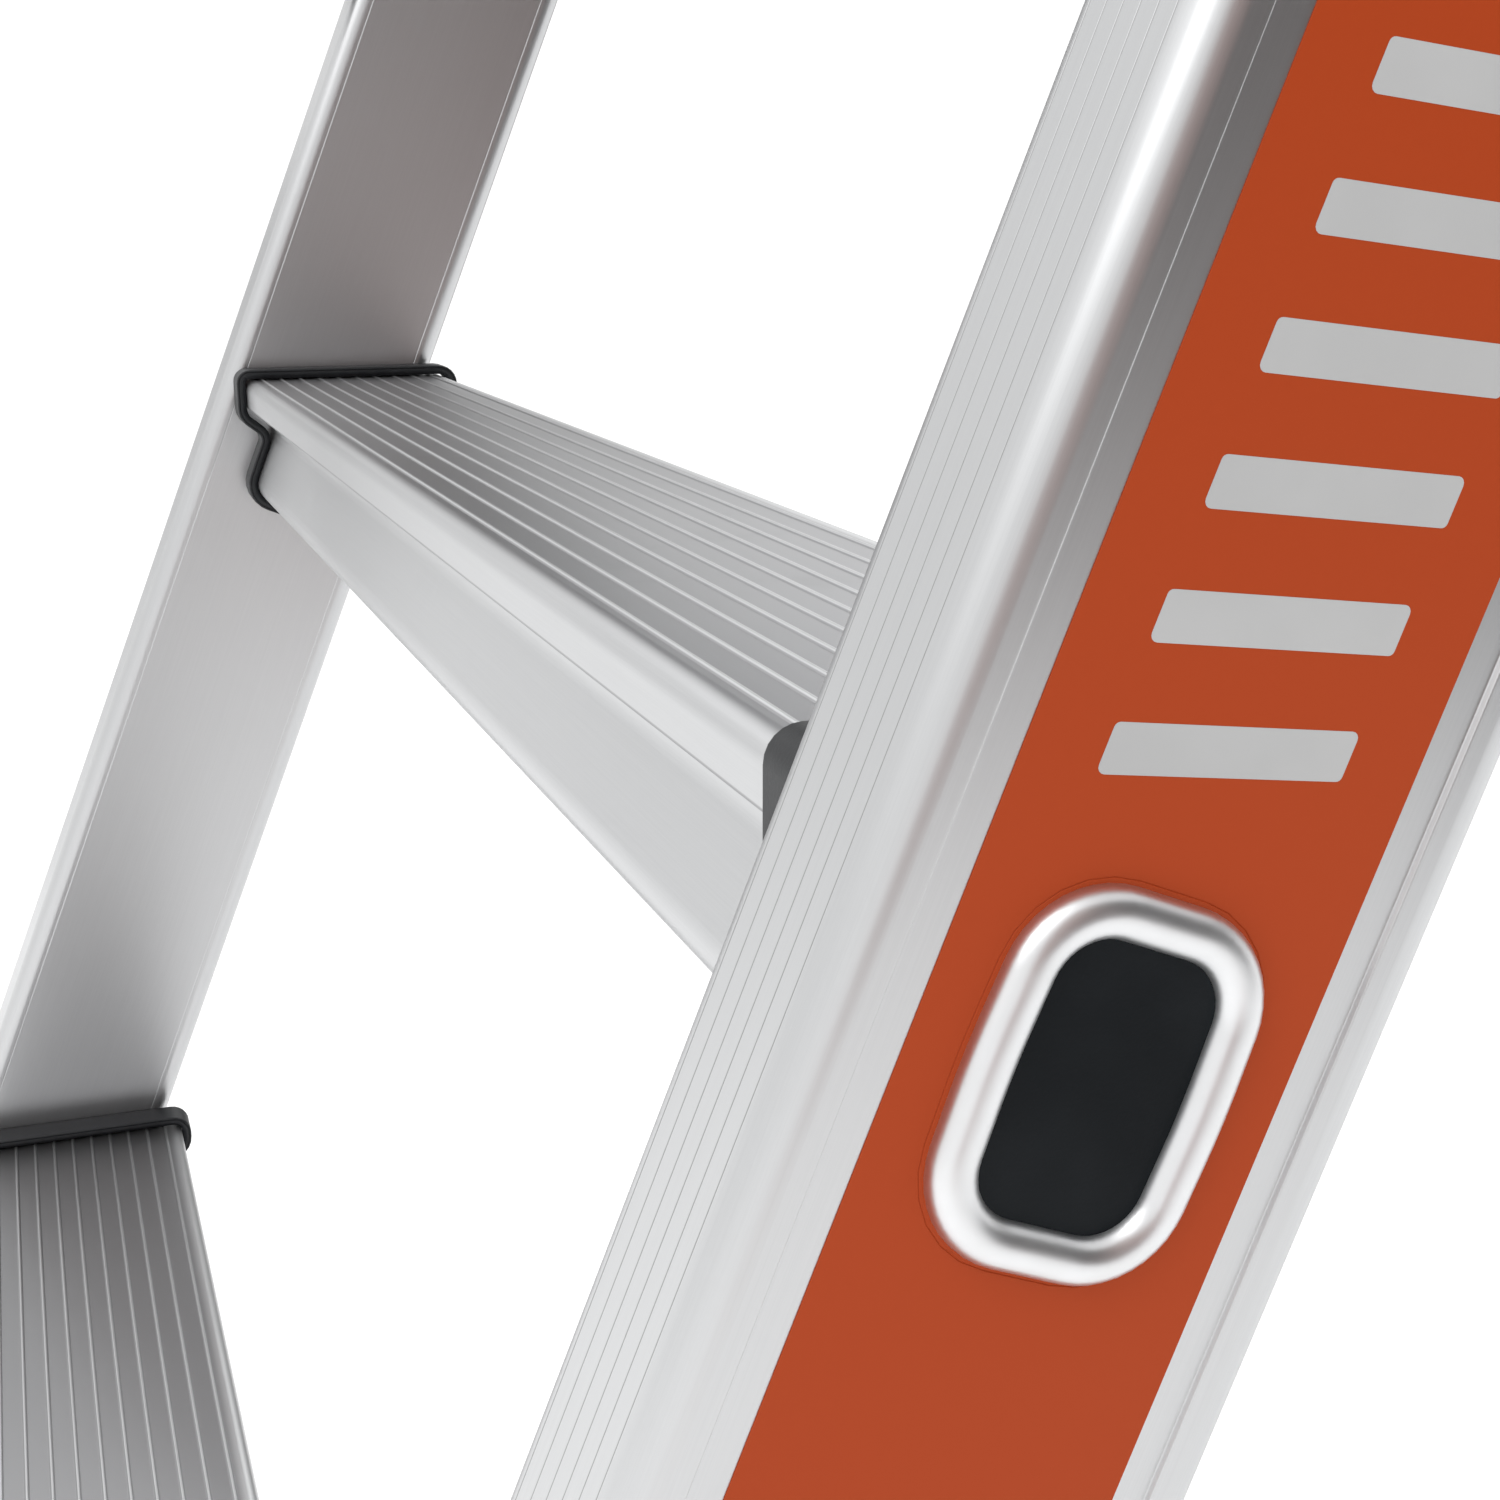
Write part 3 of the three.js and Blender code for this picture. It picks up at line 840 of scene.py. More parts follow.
@dataclass
class Stile:
    """Box-section side rail with grooved narrow faces and a shallow recess down its outer web."""

    depth: float = 63.5
    inner: float = 264.5
    outer: float = 291.0
    inner_radius: float = 4.7
    outer_radius: float = 4.2
    land: float = 6.4  # edge of the section to the recess
    recess: float = 0.6
    flank: float = 0.3
    brow: float = 0.15  # rounding of the recess's two edges
    groove_pitch: float = 3.4
    grooves: int = 6
    groove_width: float = 0.3
    groove_depth: float = 0.07
    edge_line: float = 6.0  # fine line on the inner face, from each edge
    end_edge: float = 0.5
    steps: int = 5

    def _notch(self, place: float) -> list[tuple[float, float]]:
        """Distance along a side and depth of the three corners of a groove."""
        half = self.groove_width / 2
        return [(place - half, 0.0), (place, self.groove_depth), (place + half, 0.0)]

    def corners(self) -> list:
        """Corners of the section, counter-clockwise from the front inner edge.

        Returns:
            x, y and radius of each corner.
        """
        first = self.inner + self.inner_radius + self.groove_width / 2
        lines = [first + i * self.groove_pitch for i in range(self.grooves)]
        edges = [self.edge_line, self.depth - self.edge_line]
        rear = [(self.depth - d, p, 0.0) for line in lines for p, d in self._notch(line)]
        front = [(d, p, 0.0) for line in lines for p, d in self._notch(line)][::-1]
        inside = [(p, self.inner + d, 0.0) for line in edges for p, d in self._notch(line)]
        return [
            (0, self.inner, self.inner_radius),
            *inside,
            (self.depth, self.inner, self.inner_radius),
            *rear,
            (self.depth, self.outer, self.outer_radius),
            (self.depth - self.land, self.outer, self.brow),
            (self.depth - self.land - self.flank, self.web, self.brow),
            (self.land + self.flank, self.web, self.brow),
            (self.land, self.outer, self.brow),
            (0, self.outer, self.outer_radius),
            *front,
        ]

    @property
    def web(self) -> float:
        """Distance of the recessed outer web from the centre plane."""
        return self.outer - self.recess

    def build(self, section: Section, finishes: Finishes) -> None:
        """Makes both stiles of a section and marks the floors of the narrow faces' grooves for painted
        shade.

        Args:
            section: the section that the pieces belong to.
            finishes: the ladder's finishes.
        """
        corners = self.corners()
        low, high = section.span(f"{section.name}_stile_left", 0, self.depth)
        rings = rounded_ends(low, high, self.end_edge, 2)
        shell = Shell().loft(corners, rings, Plane.PLAN, steps=self.steps)
        shaded_floors = np.isin([x for x, _, _ in corners], (self.groove_depth, self.depth - self.groove_depth))
        name = section.name
        for rail in pair(section, f"{name}_*_stile", shell, finishes.stile, f"{name}_stile_*"):
            # painted shade in the floors of the narrow faces' grooves
            mark_painted_shade(rail, np.tile(np.repeat(shaded_floors, self.steps + 3), len(rings)))


@dataclass
class Tread:
    """Flat tread with raised grip ribs, a rounded nose and the box that runs into the stiles.

    The sleeves at its ends follow a slightly fuller outline, with a taller nose and a deeper neck.
    """

    depth: float = 67.0
    nose_height: float = 9.3
    nose_radius: float = 3.4
    nose_shade: tuple = (1.0, 1.0, 0.8, 0.5, 0.2)  # painted shade on the first points round the nose
    lower_radius: float = 0.5
    neck_drop: float = 13.5
    neck_radius: float = 6.0
    sleeve_nose_height: float = 11.5
    sleeve_nose_radius: float = 1.3
    sleeve_lower_radius: float = 4.0
    sleeve_neck_drop: float = 18.0
    rear_height: float = 10.0
    rear_radius: float = 3.0
    rear_lower_radius: float = 5.0
    heel_radius: float = 0.6  # inner corner between the box and the rear of the deck
    keel: float = -35.3
    keel_radius: float = 6.0
    tube_front: float = 20.0
    tube_rear: float = 43.5
    rib_height: float = 0.45
    rib_width: float = 0.45
    rib_slope: float = 0.35
    rib_pitch: float = 6.2
    rib_radius: float = 0.3
    first_rib: float = 5.3
    ribs: int = 10
    end_gap: float = 0.3

    def underside(self, section: Section, drop: float, neck: float, lip: float) -> list:
        """Corners from the nose's lower edge round the box to the rear edge.

        Args:
            section: the section whose lean levels the tread.
            drop: height of the nose.
            neck: depth of the neck behind it.
            lip: radius of the nose's lower edge.

        Returns:
            The corners, counter-clockwise.
        """
        return [
            section.level(0, -drop, lip),
            section.level_at(self.tube_front, -neck, self.neck_radius),
            (self.tube_front, self.keel, self.keel_radius),
            (self.tube_rear, self.keel, self.keel_radius),
            section.level_at(self.tube_rear, -self.rear_height, self.heel_radius),
            section.level(self.depth, -self.rear_height, self.rear_lower_radius),
        ]

    def corners(self, section: Section) -> list:
        """Corners of the ribbed tread, counter-clockwise from the rear upper edge.

        Args:
            section: the section whose lean levels the tread.

        Returns:
            x, z and radius of each corner, with the nose at height nought.
        """
        centres = [self.first_rib + i * self.rib_pitch for i in range(self.ribs)][::-1]
        half, foot = self.rib_width / 2, self.rib_width / 2 + self.rib_slope
        steps = [(foot, -self.rib_height), (half, 0), (-half, 0), (-foot, -self.rib_height)]
        ribs = [section.level(u + du, v, self.rib_radius) for u in centres for du, v in steps]
        return [
            section.level(self.depth, -self.rib_height, self.rear_radius),
            *ribs,
            section.level(0, -self.rib_height, self.nose_radius),
            *self.underside(section, self.nose_height, self.neck_drop, self.lower_radius),
        ]

    def sleeve_corners(self, section: Section) -> list:
        """Corners of the tread without its ribs, which the sleeves follow.

        Args:
            section: the section whose lean levels the tread.

        Returns:
            x, z and radius of each corner.
        """
        nose, neck = self.sleeve_nose_height, self.sleeve_neck_drop
        return [
            section.level(self.depth, 0, self.rear_radius),
            section.level(0, 0, self.sleeve_nose_radius),
            *self.underside(section, nose, neck, self.sleeve_lower_radius),
        ]

    def _painted_shade_marks(self, corners: int) -> np.ndarray:
        """Painted shade on a ring's points: whole at the ribs' feet and the nose's lip, fading over its
        edge.

        Args:
            corners: number of corners in a ring.

        Returns:
            A number from nought to one for each point of the ring.
        """
        dull = np.zeros((corners, OUTLINE_STEPS + 3))
        nose = 1 + 4 * self.ribs
        ribs = dull[1:nose]
        ribs[::4] = 1
        ribs[3::4] = 1
        dull[nose, : len(self.nose_shade)] = self.nose_shade
        dull[nose + 1, 1:] = 1
        return dull.ravel()

    def build(self, section: Section, stile: Stile, finishes: Finishes) -> None:
        """Makes the treads of a section.

        Args:
            section: the section that the pieces belong to.
            stile: the stile's sizes.
            finishes: the ladder's finishes.
        """
        reach = stile.inner - self.end_gap
        corners = self.corners(section)
        rings = rounded_ends(-reach, reach, self.end_gap, 2)
        for number, height in enumerate(section.heights(), 1):
            shell = Shell().loft(corners, rings, Plane.SIDE).turned(0, 0, height)
            piece = Piece(section, f"{section.name}_step_{number}")
            step = piece.make(shell, finishes.tread, stands_for=[f"{section.name}_tread_{number}"])
            # painted shade at the feet of the ribs and round the nose's lip
            mark_painted_shade(step, np.tile(self._painted_shade_marks(len(corners)), len(rings)))


@dataclass
class Collar:
    """Black sleeve around the tread where it meets the stile."""

    gap: float = 0.3
    wall: float = 2.8
    width: float = 10.5
    edge: float = 0.5
    mid_edge: float = 0.3  # middle of the rounded edge, as a share of its radius
    rim: float = 0.6  # thin outer lip of the end face
    groove: float = 0.35
    groove_depth: float = 0.45
    band: float = 0.9  # flat band inside the groove
    bevel: float = 0.9  # drop of the inner bevel towards the tread
    ease: float = 0.1  # small bevel of the lip and the band
    bevel_start: float = 0.12  # start of the inner bevel below the end face

    def rings(self, inner: float) -> list:
        """Growth and distance across of the sleeve's wall section, round from the stile.

        Args:
            inner: distance of the stile's inner face from the centre plane.

        Returns:
            Pairs of growth and distance, closing on themselves.
        """
        back = inner - self.gap
        face = back - self.width + self.gap
        outer = self.gap + self.wall
        lip = outer - self.rim
        band = lip - self.groove
        inside = band - self.band
        slope, floor = self.groove / 4, face + self.groove_depth
        level = face + self.ease / 2
        bore = self.gap / 2
        return [
            (self.gap, back),
            (outer, back),
            (outer, face + self.edge + SUPPORT),
            (outer, face + self.edge),
            (outer - self.edge * self.mid_edge, face + self.edge * self.mid_edge),
            (lip + self.ease, face),
            (lip, level),
            (lip - slope, floor),
            (band + slope, floor),
            (band, face + self.ease),
            (band - self.ease, level),
            (inside, level),
            (inside - self.ease, face + self.bevel_start),
            (bore, face + self.bevel),
            (bore, face + self.bevel + self.wall),
        ]

    def build(self, section: Section, stile: Stile, tread: Tread, finishes: Finishes) -> None:
        """Makes both collars of every tread of a section.

        Args:
            section: the section that the pieces belong to.
            stile: the stile's sizes.
            tread: the tread's sizes.
            finishes: the ladder's finishes.
        """
        name = section.name
        corners, rings = tread.sleeve_corners(section), self.rings(stile.inner)
        for number, height in enumerate(section.heights(), 1):
            shell = Shell().loft(corners, rings, Plane.SIDE, hoop=True).turned(0, 0, height)
            node = f"{name}_collar_*_{number}"
            pair(section, f"{name}_*_sleeve_{number}", shell, finishes.collar, node)


@dataclass
class TubeEnd:
    """Swaged rim of a tread's tube on the stile's outer web, with the plug that closes it."""

    bore_depth: float = 19.5
    bore_height: float = 29.0
    corner: float = 5.5
    bulge: float = 0.6  # how far the long sides bow out past their ends
    bow: float = 100.0  # radius of the bowed sides
    drop: float = 17.5
    rim: float = 5.3
    rim_steps: int = 10
    proud: float = 2.8
    foot: float = 0.15  # upright foot of the rim
    bead_steps: int = 14
    fullness: float = 0.8  # power that the bead's height is raised to; below one it is flatter on top
    sunk: float = 1.0
    plug_seat: float = 0.3  # plug's edge under the rim
    plug_rise: float = 0.8
    plug_steps: int = 8

    def corners(self, stile: Stile) -> list:
        """Corners of the bore's opening on the side plane, with the tread's nose at height nought.

        Args:
            stile: the stile's sizes.

        Returns:
            x, z and radius of each corner.
        """
        x, z = self.bore_depth / 2, self.bore_height / 2
        middle = stile.depth / 2
        near, low, high = x - self.bulge, -self.drop - z, -self.drop + z
        return [
            (middle - near, low, self.corner),
            (middle + near, low, self.corner),
            (middle + x, -self.drop, self.bow),
            (middle + near, high, self.corner),
            (middle - near, high, self.corner),
            (middle - x, -self.drop, self.bow),
        ]

    def bead(self, web: float) -> list:
        """Growth and distance across of the rim: half a flattened ellipse over the web.

        Args:
            web: distance of the stile's outer web from the centre plane.

        Returns:
            Pairs of growth and distance, closing on themselves.
        """
        turns = np.linspace(0, math.pi, self.bead_steps + 1)[:-1]
        half, base, rise = self.rim / 2, web + self.foot, self.proud - self.foot
        arc = [(half * (1 - math.cos(t)), base + rise * math.sin(t) ** self.fullness) for t in turns]
        return [(0, web - self.sunk), *arc, (self.rim, base), (self.rim, web - self.sunk)]

    def build(self, section: Section, stile: Stile, finishes: Finishes) -> None:
        """Makes a rim and a plug at both ends of every tread of a section.

        Args:
            section: the section that the pieces belong to.
            stile: the stile's sizes.
            finishes: the ladder's finishes.
        """
        corners, bead = self.corners(stile), self.bead(stile.web)
        seat, top = self.plug_seat, stile.web + self.plug_rise
        face = [(seat, stile.web - self.sunk), (seat, top), (seat - 2 * SUPPORT, top)]
        name = section.name
        for number, height in enumerate(section.heights(), 1):
            rim = Shell().loft(corners, bead, Plane.SIDE, hoop=True, steps=self.rim_steps)
            pair(section, f"{name}_*_rim_{number}", rim.turned(0, 0, height), finishes.rim)
            plug = Shell().loft(corners, face, Plane.SIDE, steps=self.plug_steps)
            pair(section, f"{name}_*_plug_{number}", plug.turned(0, 0, height), finishes.plug)


@dataclass
class Label:
    """Printed film on the outer web of a base stile, cut round the one rim that it passes.

    The print is plain: slanted bars of one size in a row.
    """

    width: float = 42.5
    tread: int = 3
    reach_down: float = 190.0
    reach_up: float = 236.0
    thickness: float = 0.12
    ink: float = 0.03
    corner: float = 3.0
    cut: float = 0.1  # half the width of the crease round the rim
    crease_depth: float = 0.09
    strip: float = 0.55  # film between the rim's foot and the crease
    tuck: float = 0.4  # film that runs under the rim's foot
    bar_length: float = 26.0
    bar_width: float = 5.2
    bar_pitch: float = 13.0
    bar_slant: float = 7.0
    bar_corner: float = 0.7
    first_bar: float = 32.0  # first bar above the rim's middle
    bar_margin: float = 8.0  # room above the last bar

    def build(self, section: Section, stile: Stile, end: TubeEnd, finishes: Finishes) -> None:
        """Makes the film and its printed bars on both base stiles.

        Args:
            section: the section that the pieces belong to.
            stile: the stile's sizes.
            end: the sizes of the rim that the film is cut round.
            finishes: the ladder's finishes.
        """
        height = section.heights()[self.tread - 1]
        middle, half = stile.depth / 2, self.width / 2
        border = rectangle(middle - half, -self.reach_down, middle + half, self.reach_up, self.corner)
        film = self._film(border, end.corners(stile), end.rim, stile.web).turned(0, 0, height)
        pair(section, f"{section.name}_*_label", film, finishes.film)
        bars = self._bars(middle, stile.web + self.thickness, -end.drop).turned(0, 0, height)
        pair(section, f"{section.name}_*_label_bars", bars, finishes.ink)

    def _film(self, border: Corners, opening: Corners, foot: float, web: float) -> Shell:
        """The film: flat from its border to the rim's foot, with a fine crease round the rim.

        Args:
            border: corners of the film's border.
            opening: corners of the rim's opening.
            foot: width of the rim outside its opening.
            web: distance of the web that it lies on.

        Returns:
            The film's surface.
        """
        top = web + self.thickness
        crease = foot + self.strip
        edge, hole = self._border(border, opening), outline(opening, foot - self.tuck)
        levels = [(edge, web), (edge, top)]
        for grow, depth in ((self.cut + SUPPORT, 0), (self.cut, 0), (0, self.crease_depth), (-self.cut, 0)):
            levels.append((outline(opening, crease + grow), top - depth))
        levels += [(hole, top), (hole, web)]
        grid = np.stack([np.stack([p[:, 0], np.full(len(p), y), p[:, 1]], 1) for p, y in levels])
        return Shell().add(grid, hoop=True)

    @staticmethod
    def _border(border: Corners, opening: Corners) -> np.ndarray:
        """Outline of the film, with a run of points on each long side beside the rim's bowed sides.

        Args:
            border: corners of the film's border.
            opening: corners of the rim's opening.

        Returns:
            Points of the outline, as many as the opening's outline has.
        """
        corners = outline(border).reshape(4, -1, 2)
        heights = [z for _, z, _ in opening]
        climb = np.linspace((0, min(heights)), (0, max(heights)), corners.shape[1])
        right = climb + (corners[1][-1][0], 0)
        left = climb[::-1] + (corners[3][-1][0], 0)
        return np.concatenate([corners[0], corners[1], right, corners[2], corners[3], left])

    def _bars(self, middle: float, face: float, centre: float) -> Shell:
        """Slanted bars above the rim, from just clear of it to the film's upper end.

        Args:
            middle: x of the film's middle.
            face: distance of the film's face.
            centre: height of the rim's middle.

        Returns:
            The bars' surfaces.
        """
        shell = Shell()
        half, tilt = self.bar_length / 2, self.bar_slant / 2
        start = centre + self.first_bar
        for i in range(int((self.reach_up - start - self.bar_margin) / self.bar_pitch)):
            z = start + i * self.bar_pitch
            corners = [
                (middle - half, z - tilt, self.bar_corner),
                (middle + half, z + tilt, self.bar_corner),
                (middle + half, z + tilt + self.bar_width, self.bar_corner),
                (middle - half, z - tilt + self.bar_width, self.bar_corner),
            ]
            shell.loft(corners, [(0, face), (0, face + self.ink)], Plane.SIDE, steps=4)
        return shell


@dataclass
class Rivet:
    """Domed rivet head on a face across the ladder."""

    radius: float = 3.6
    height: float = 1.5
    flange: float = 0.3
    sunk: float = 0.3
    bevel: float = 0.1
    root: float = 0.7  # radius of the sunk end, as a share of the head's
    crown: float = 0.12  # angle of the flat at the top of the dome
    steps: int = 5

    def add(self, shell: Shell, x: float, z: float, face: float) -> Shell:
        """Adds a head: its radius and height follow a quarter of an ellipse down to a short flange.

        Args:
            shell: the surfaces that it joins.
            x: its middle along x.
            z: its middle along z.
            face: distance of the face that it sits on.

        Returns:
            The same shell.
        """
        turns = np.linspace(self.crown, math.pi / 2, self.steps + 1)[::-1]
        base = face + self.flange
        dome = [(self.radius * math.sin(t), base + self.height * math.cos(t)) for t in turns]
        low = face - self.sunk
        rings = [(self.radius * self.root, low), (self.radius, low + self.bevel), *dome]
        return shell.loft(circle(x, z), rings, Plane.SIDE, steps=4)


@dataclass
class Foot:
    """Rubber foot over a base stile's lower end, level on the floor, with a grooved sole."""

    wall: float = 4.5
    corner: float = 6.0
    edge: float = 2.0
    toe: float = 1.2
    grooves: int = 4
    groove_width: float = 4.0
    groove_depth: float = 3.0
    mouth: float = 0.4
    root: float = 0.6
    rivet_drops: tuple = (14.0, 44.0)

    def corners(self, section: Section, stile: Stile, top: float) -> list:
        """Corners of the foot's side view, with cross grooves cut up into the sole.

        Args:
            section: the section whose lean levels the sole.
            stile: the stile's sizes.
            top: height of the foot's upper end.

        Returns:
            x, z and radius of each corner.
        """
        front, rear = -self.wall, stile.depth + self.wall
        spacing = (rear - front) / (self.grooves + 1)
        sole = []
        for i in range(self.grooves):
            left = front + spacing * (i + 1) - self.groove_width / 2
            right = left + self.groove_width
            start, end = section.floor_at(left), section.floor_at(right)
            sole += [(left, start, self.mouth), (left, start + self.groove_depth, self.root)]
            sole += [(right, end + self.groove_depth, self.root), (right, end, self.mouth)]
        toe = (front, section.floor_at(front), self.toe)
        heel = (rear, section.floor_at(rear), self.toe)
        return [toe, *sole, heel, (rear, top, self.corner), (front, top, self.corner)]

    def build(self, section: Section, stile: Stile, rivet: Rivet, finishes: Finishes) -> None:
        """Makes both feet with two rivets each.

        Args:
            section: the section that the pieces belong to.
            stile: the stile's sizes.
            rivet: the rivet that holds them.
            finishes: the ladder's finishes.
        """
        name = section.name
        _, top = section.span(f"{name}_foot_left", self.corner - self.wall, 0)
        rings = rounded_ends(stile.inner - self.wall, stile.outer + self.wall, self.edge)
        shell = Shell().loft(self.corners(section, stile, top), rings, Plane.SIDE)
        pair(section, f"{name}_*_shoe", shell, finishes.foot, f"{name}_foot_*")
        heads = Shell()
        for drop in self.rivet_drops:
            rivet.add(heads, stile.depth / 2, top - drop, stile.outer + self.wall)
        pair(section, f"{name}_*_shoe_rivets", heads, finishes.rivet)


@dataclass
class EndCap:
    """Flat plastic plate over an open stile end."""

    plate: float = 4.0
    edge: float = 1.4

    def build(self, section: Section, stile: Stile, finishes: Finishes) -> None:
        """Makes both end caps of a section.

        Args:
            section: the section that the pieces belong to.
            stile: the stile's sizes.
            finishes: the ladder's finishes.
        """
        name = section.name
        corners = rectangle(0, stile.inner, stile.depth, stile.outer, stile.outer_radius)
        low, high = section.span(f"{name}_end_cap_left", 0, stile.depth)
        stile_low, _ = section.span(f"{name}_stile_left", 0, stile.depth)
        start, end = (low, low + self.plate) if low < stile_low else (high - self.plate, high)
        shell = Shell().loft(corners, rounded_ends(start, end, self.edge), Plane.PLAN)
        pair(section, f"{name}_*_plate", shell, finishes.cap, f"{name}_end_cap_*")


@dataclass
class WallCap:
    """Rubber bumper over a fly stile's upper end, with an upright ribbed face for the wall."""

    wall: float = 3.0
    skirt: float = 36.0
    crown: float = 11.4
    bulge: float = 10.37
    edge: float = 1.6
    corner: float = 2.0
    rear_corner: float = 4.0
    front_corner: float = 8.0
    grooves: int = 4
    groove_half: float = 1.2  # half a groove's width at its mouth; its floor is half as wide
    groove_depth: float = 1.2
    groove_edge: float = 0.3

    def corners(self, section: Section, stile: Stile, top: float) -> list:
        """Corners of the cap's side view, with shallow grooves down the face that meets the wall.

        Args:
            section: the section whose lean sets the wall's slope.
            stile: the stile's sizes.
            top: height of the stile's upper end.

        Returns:
            x, z and radius of each corner.
        """
        rear = stile.depth + self.bulge
        low, high = top - self.skirt / 2, top + self.crown
        slope = -math.tan(section.lean)
        half, depth = self.groove_half, self.groove_depth
        face = []
        for i in range(self.grooves):
            middle = low + (high - low) * (i + 1) / (self.grooves + 1.5)
            for step, cut in ((-half, 0), (-half / 2, depth), (half / 2, depth), (half, 0)):
                height = middle + step
                face.append((rear + (height - low) * slope - cut, height, self.groove_edge))
        return [
            (-self.wall, top - self.skirt, self.corner),
            (stile.depth + self.wall, top - self.skirt, self.corner),
            (rear, low, self.corner),
            *face,
            (rear + (high - low) * slope, high, self.rear_corner),
            (-self.wall, high, self.front_corner),
        ]

    def build(self, section: Section, stile: Stile, rivet: Rivet, finishes: Finishes) -> None:
        """Makes both wall caps with a rivet each.

        Args:
            section: the section that the pieces belong to.
            stile: the stile's sizes.
            rivet: the rivet that holds them.
            finishes: the ladder's finishes.
        """
        name, outer = section.name, stile.outer + self.wall
        _, top = section.span(f"{name}_stile_left", 0, stile.depth)
        rings = rounded_ends(stile.inner - self.wall, outer, self.edge)
        shell = Shell().loft(self.corners(section, stile, top), rings, Plane.SIDE)
        pair(section, f"{name}_*_bumper", shell, finishes.foot, f"{name}_wall_cap_*")
        heads = rivet.add(Shell(), stile.depth / 2, top - self.skirt / 2, outer)
        pair(section, f"{name}_*_bumper_rivet", heads, finishes.rivet)


@dataclass
class Guide:
    """Plastic guide riveted to its own stile's web, wrapped round the other section's stile."""

    label: str
    turned: bool  # reaches back instead of forwards
    wall: float = 4.5
    tail: float = 46.0
    lip: float = 20.0
    corner: float = 4.0
    lip_corner: float = 1.2
    seat_corner: float = 0.8
    inner_corner: float = 1.5
    running_gap: float = 1.5
    seat_gap: float = 0.3
    section_gap: float = 11.87
    ring_clear: float = 293.5
    edge: float = 0.9
    skin: float = 0.6  # room outside the block for the rivet heads, inside the CAD face
    rivet_place: float = 29.0  # from the end of the tail that lies on the stile
    rivet_inset: float = 10.0
    rivet_sunk: float = 0.08

    @property
    def face(self) -> float:
        """Distance of the block's outer face from the centre plane."""
        return self.ring_clear + self.running_gap + self.wall - self.skin

    def corners(self, stile: Stile) -> list:
        """Corners of the guide's plan, for the base's guide or, turned, for the fly's.

        Args:
            stile: the stile's sizes.

        Returns:
            x, y and radius of each corner.
        """
        near = -self.section_gap + self.running_gap
        far = -self.section_gap - stile.depth - self.running_gap
        inside = self.face + self.skin - self.wall
        lip, seat = stile.outer - self.lip, stile.outer + self.seat_gap
        plan = [
            (far - self.wall, lip, self.lip_corner),
            (far, lip, self.lip_corner),
            (far, inside, self.inner_corner),
            (near, inside, self.inner_corner),
            (near, lip, self.lip_corner),
            (-self.seat_gap, lip, self.lip_corner),
            (-self.seat_gap, seat, self.seat_corner),
            (self.tail, seat, self.seat_corner),
            (self.tail, self.face, self.corner),
            (far - self.wall, self.face, self.corner),
        ]
        return [(stile.depth - x, y, r) for x, y, r in plan][::-1] if self.turned else plan

    def build(self, section: Section, stile: Stile, rivet: Rivet, finishes: Finishes) -> None:
        """Makes both guides of a section, with two rivets each.

        Args:
            section: the section that the pieces belong to.
            stile: the stile's sizes.
            rivet: the rivet that holds them.
            finishes: the ladder's finishes.
        """
        plan, label = self.corners(stile), self.label
        xs = [x for x, _, _ in plan]
        low, high = section.span(f"{label}_guide_left", min(xs), max(xs))
        shell = Shell().loft(plan, rounded_ends(low, high, self.edge, 3), Plane.PLAN)
        pair(section, f"{label}_*_guide_block", shell, finishes.guide, f"{label}_guide_*")
        heads = Shell()
        place = stile.depth - self.rivet_place if self.turned else self.rivet_place
        for height in (low + self.rivet_inset, high - self.rivet_inset):
            rivet.add(heads, place, height, self.face - self.rivet_sunk)
        pair(section, f"{label}_*_guide_rivets", heads, finishes.rivet)


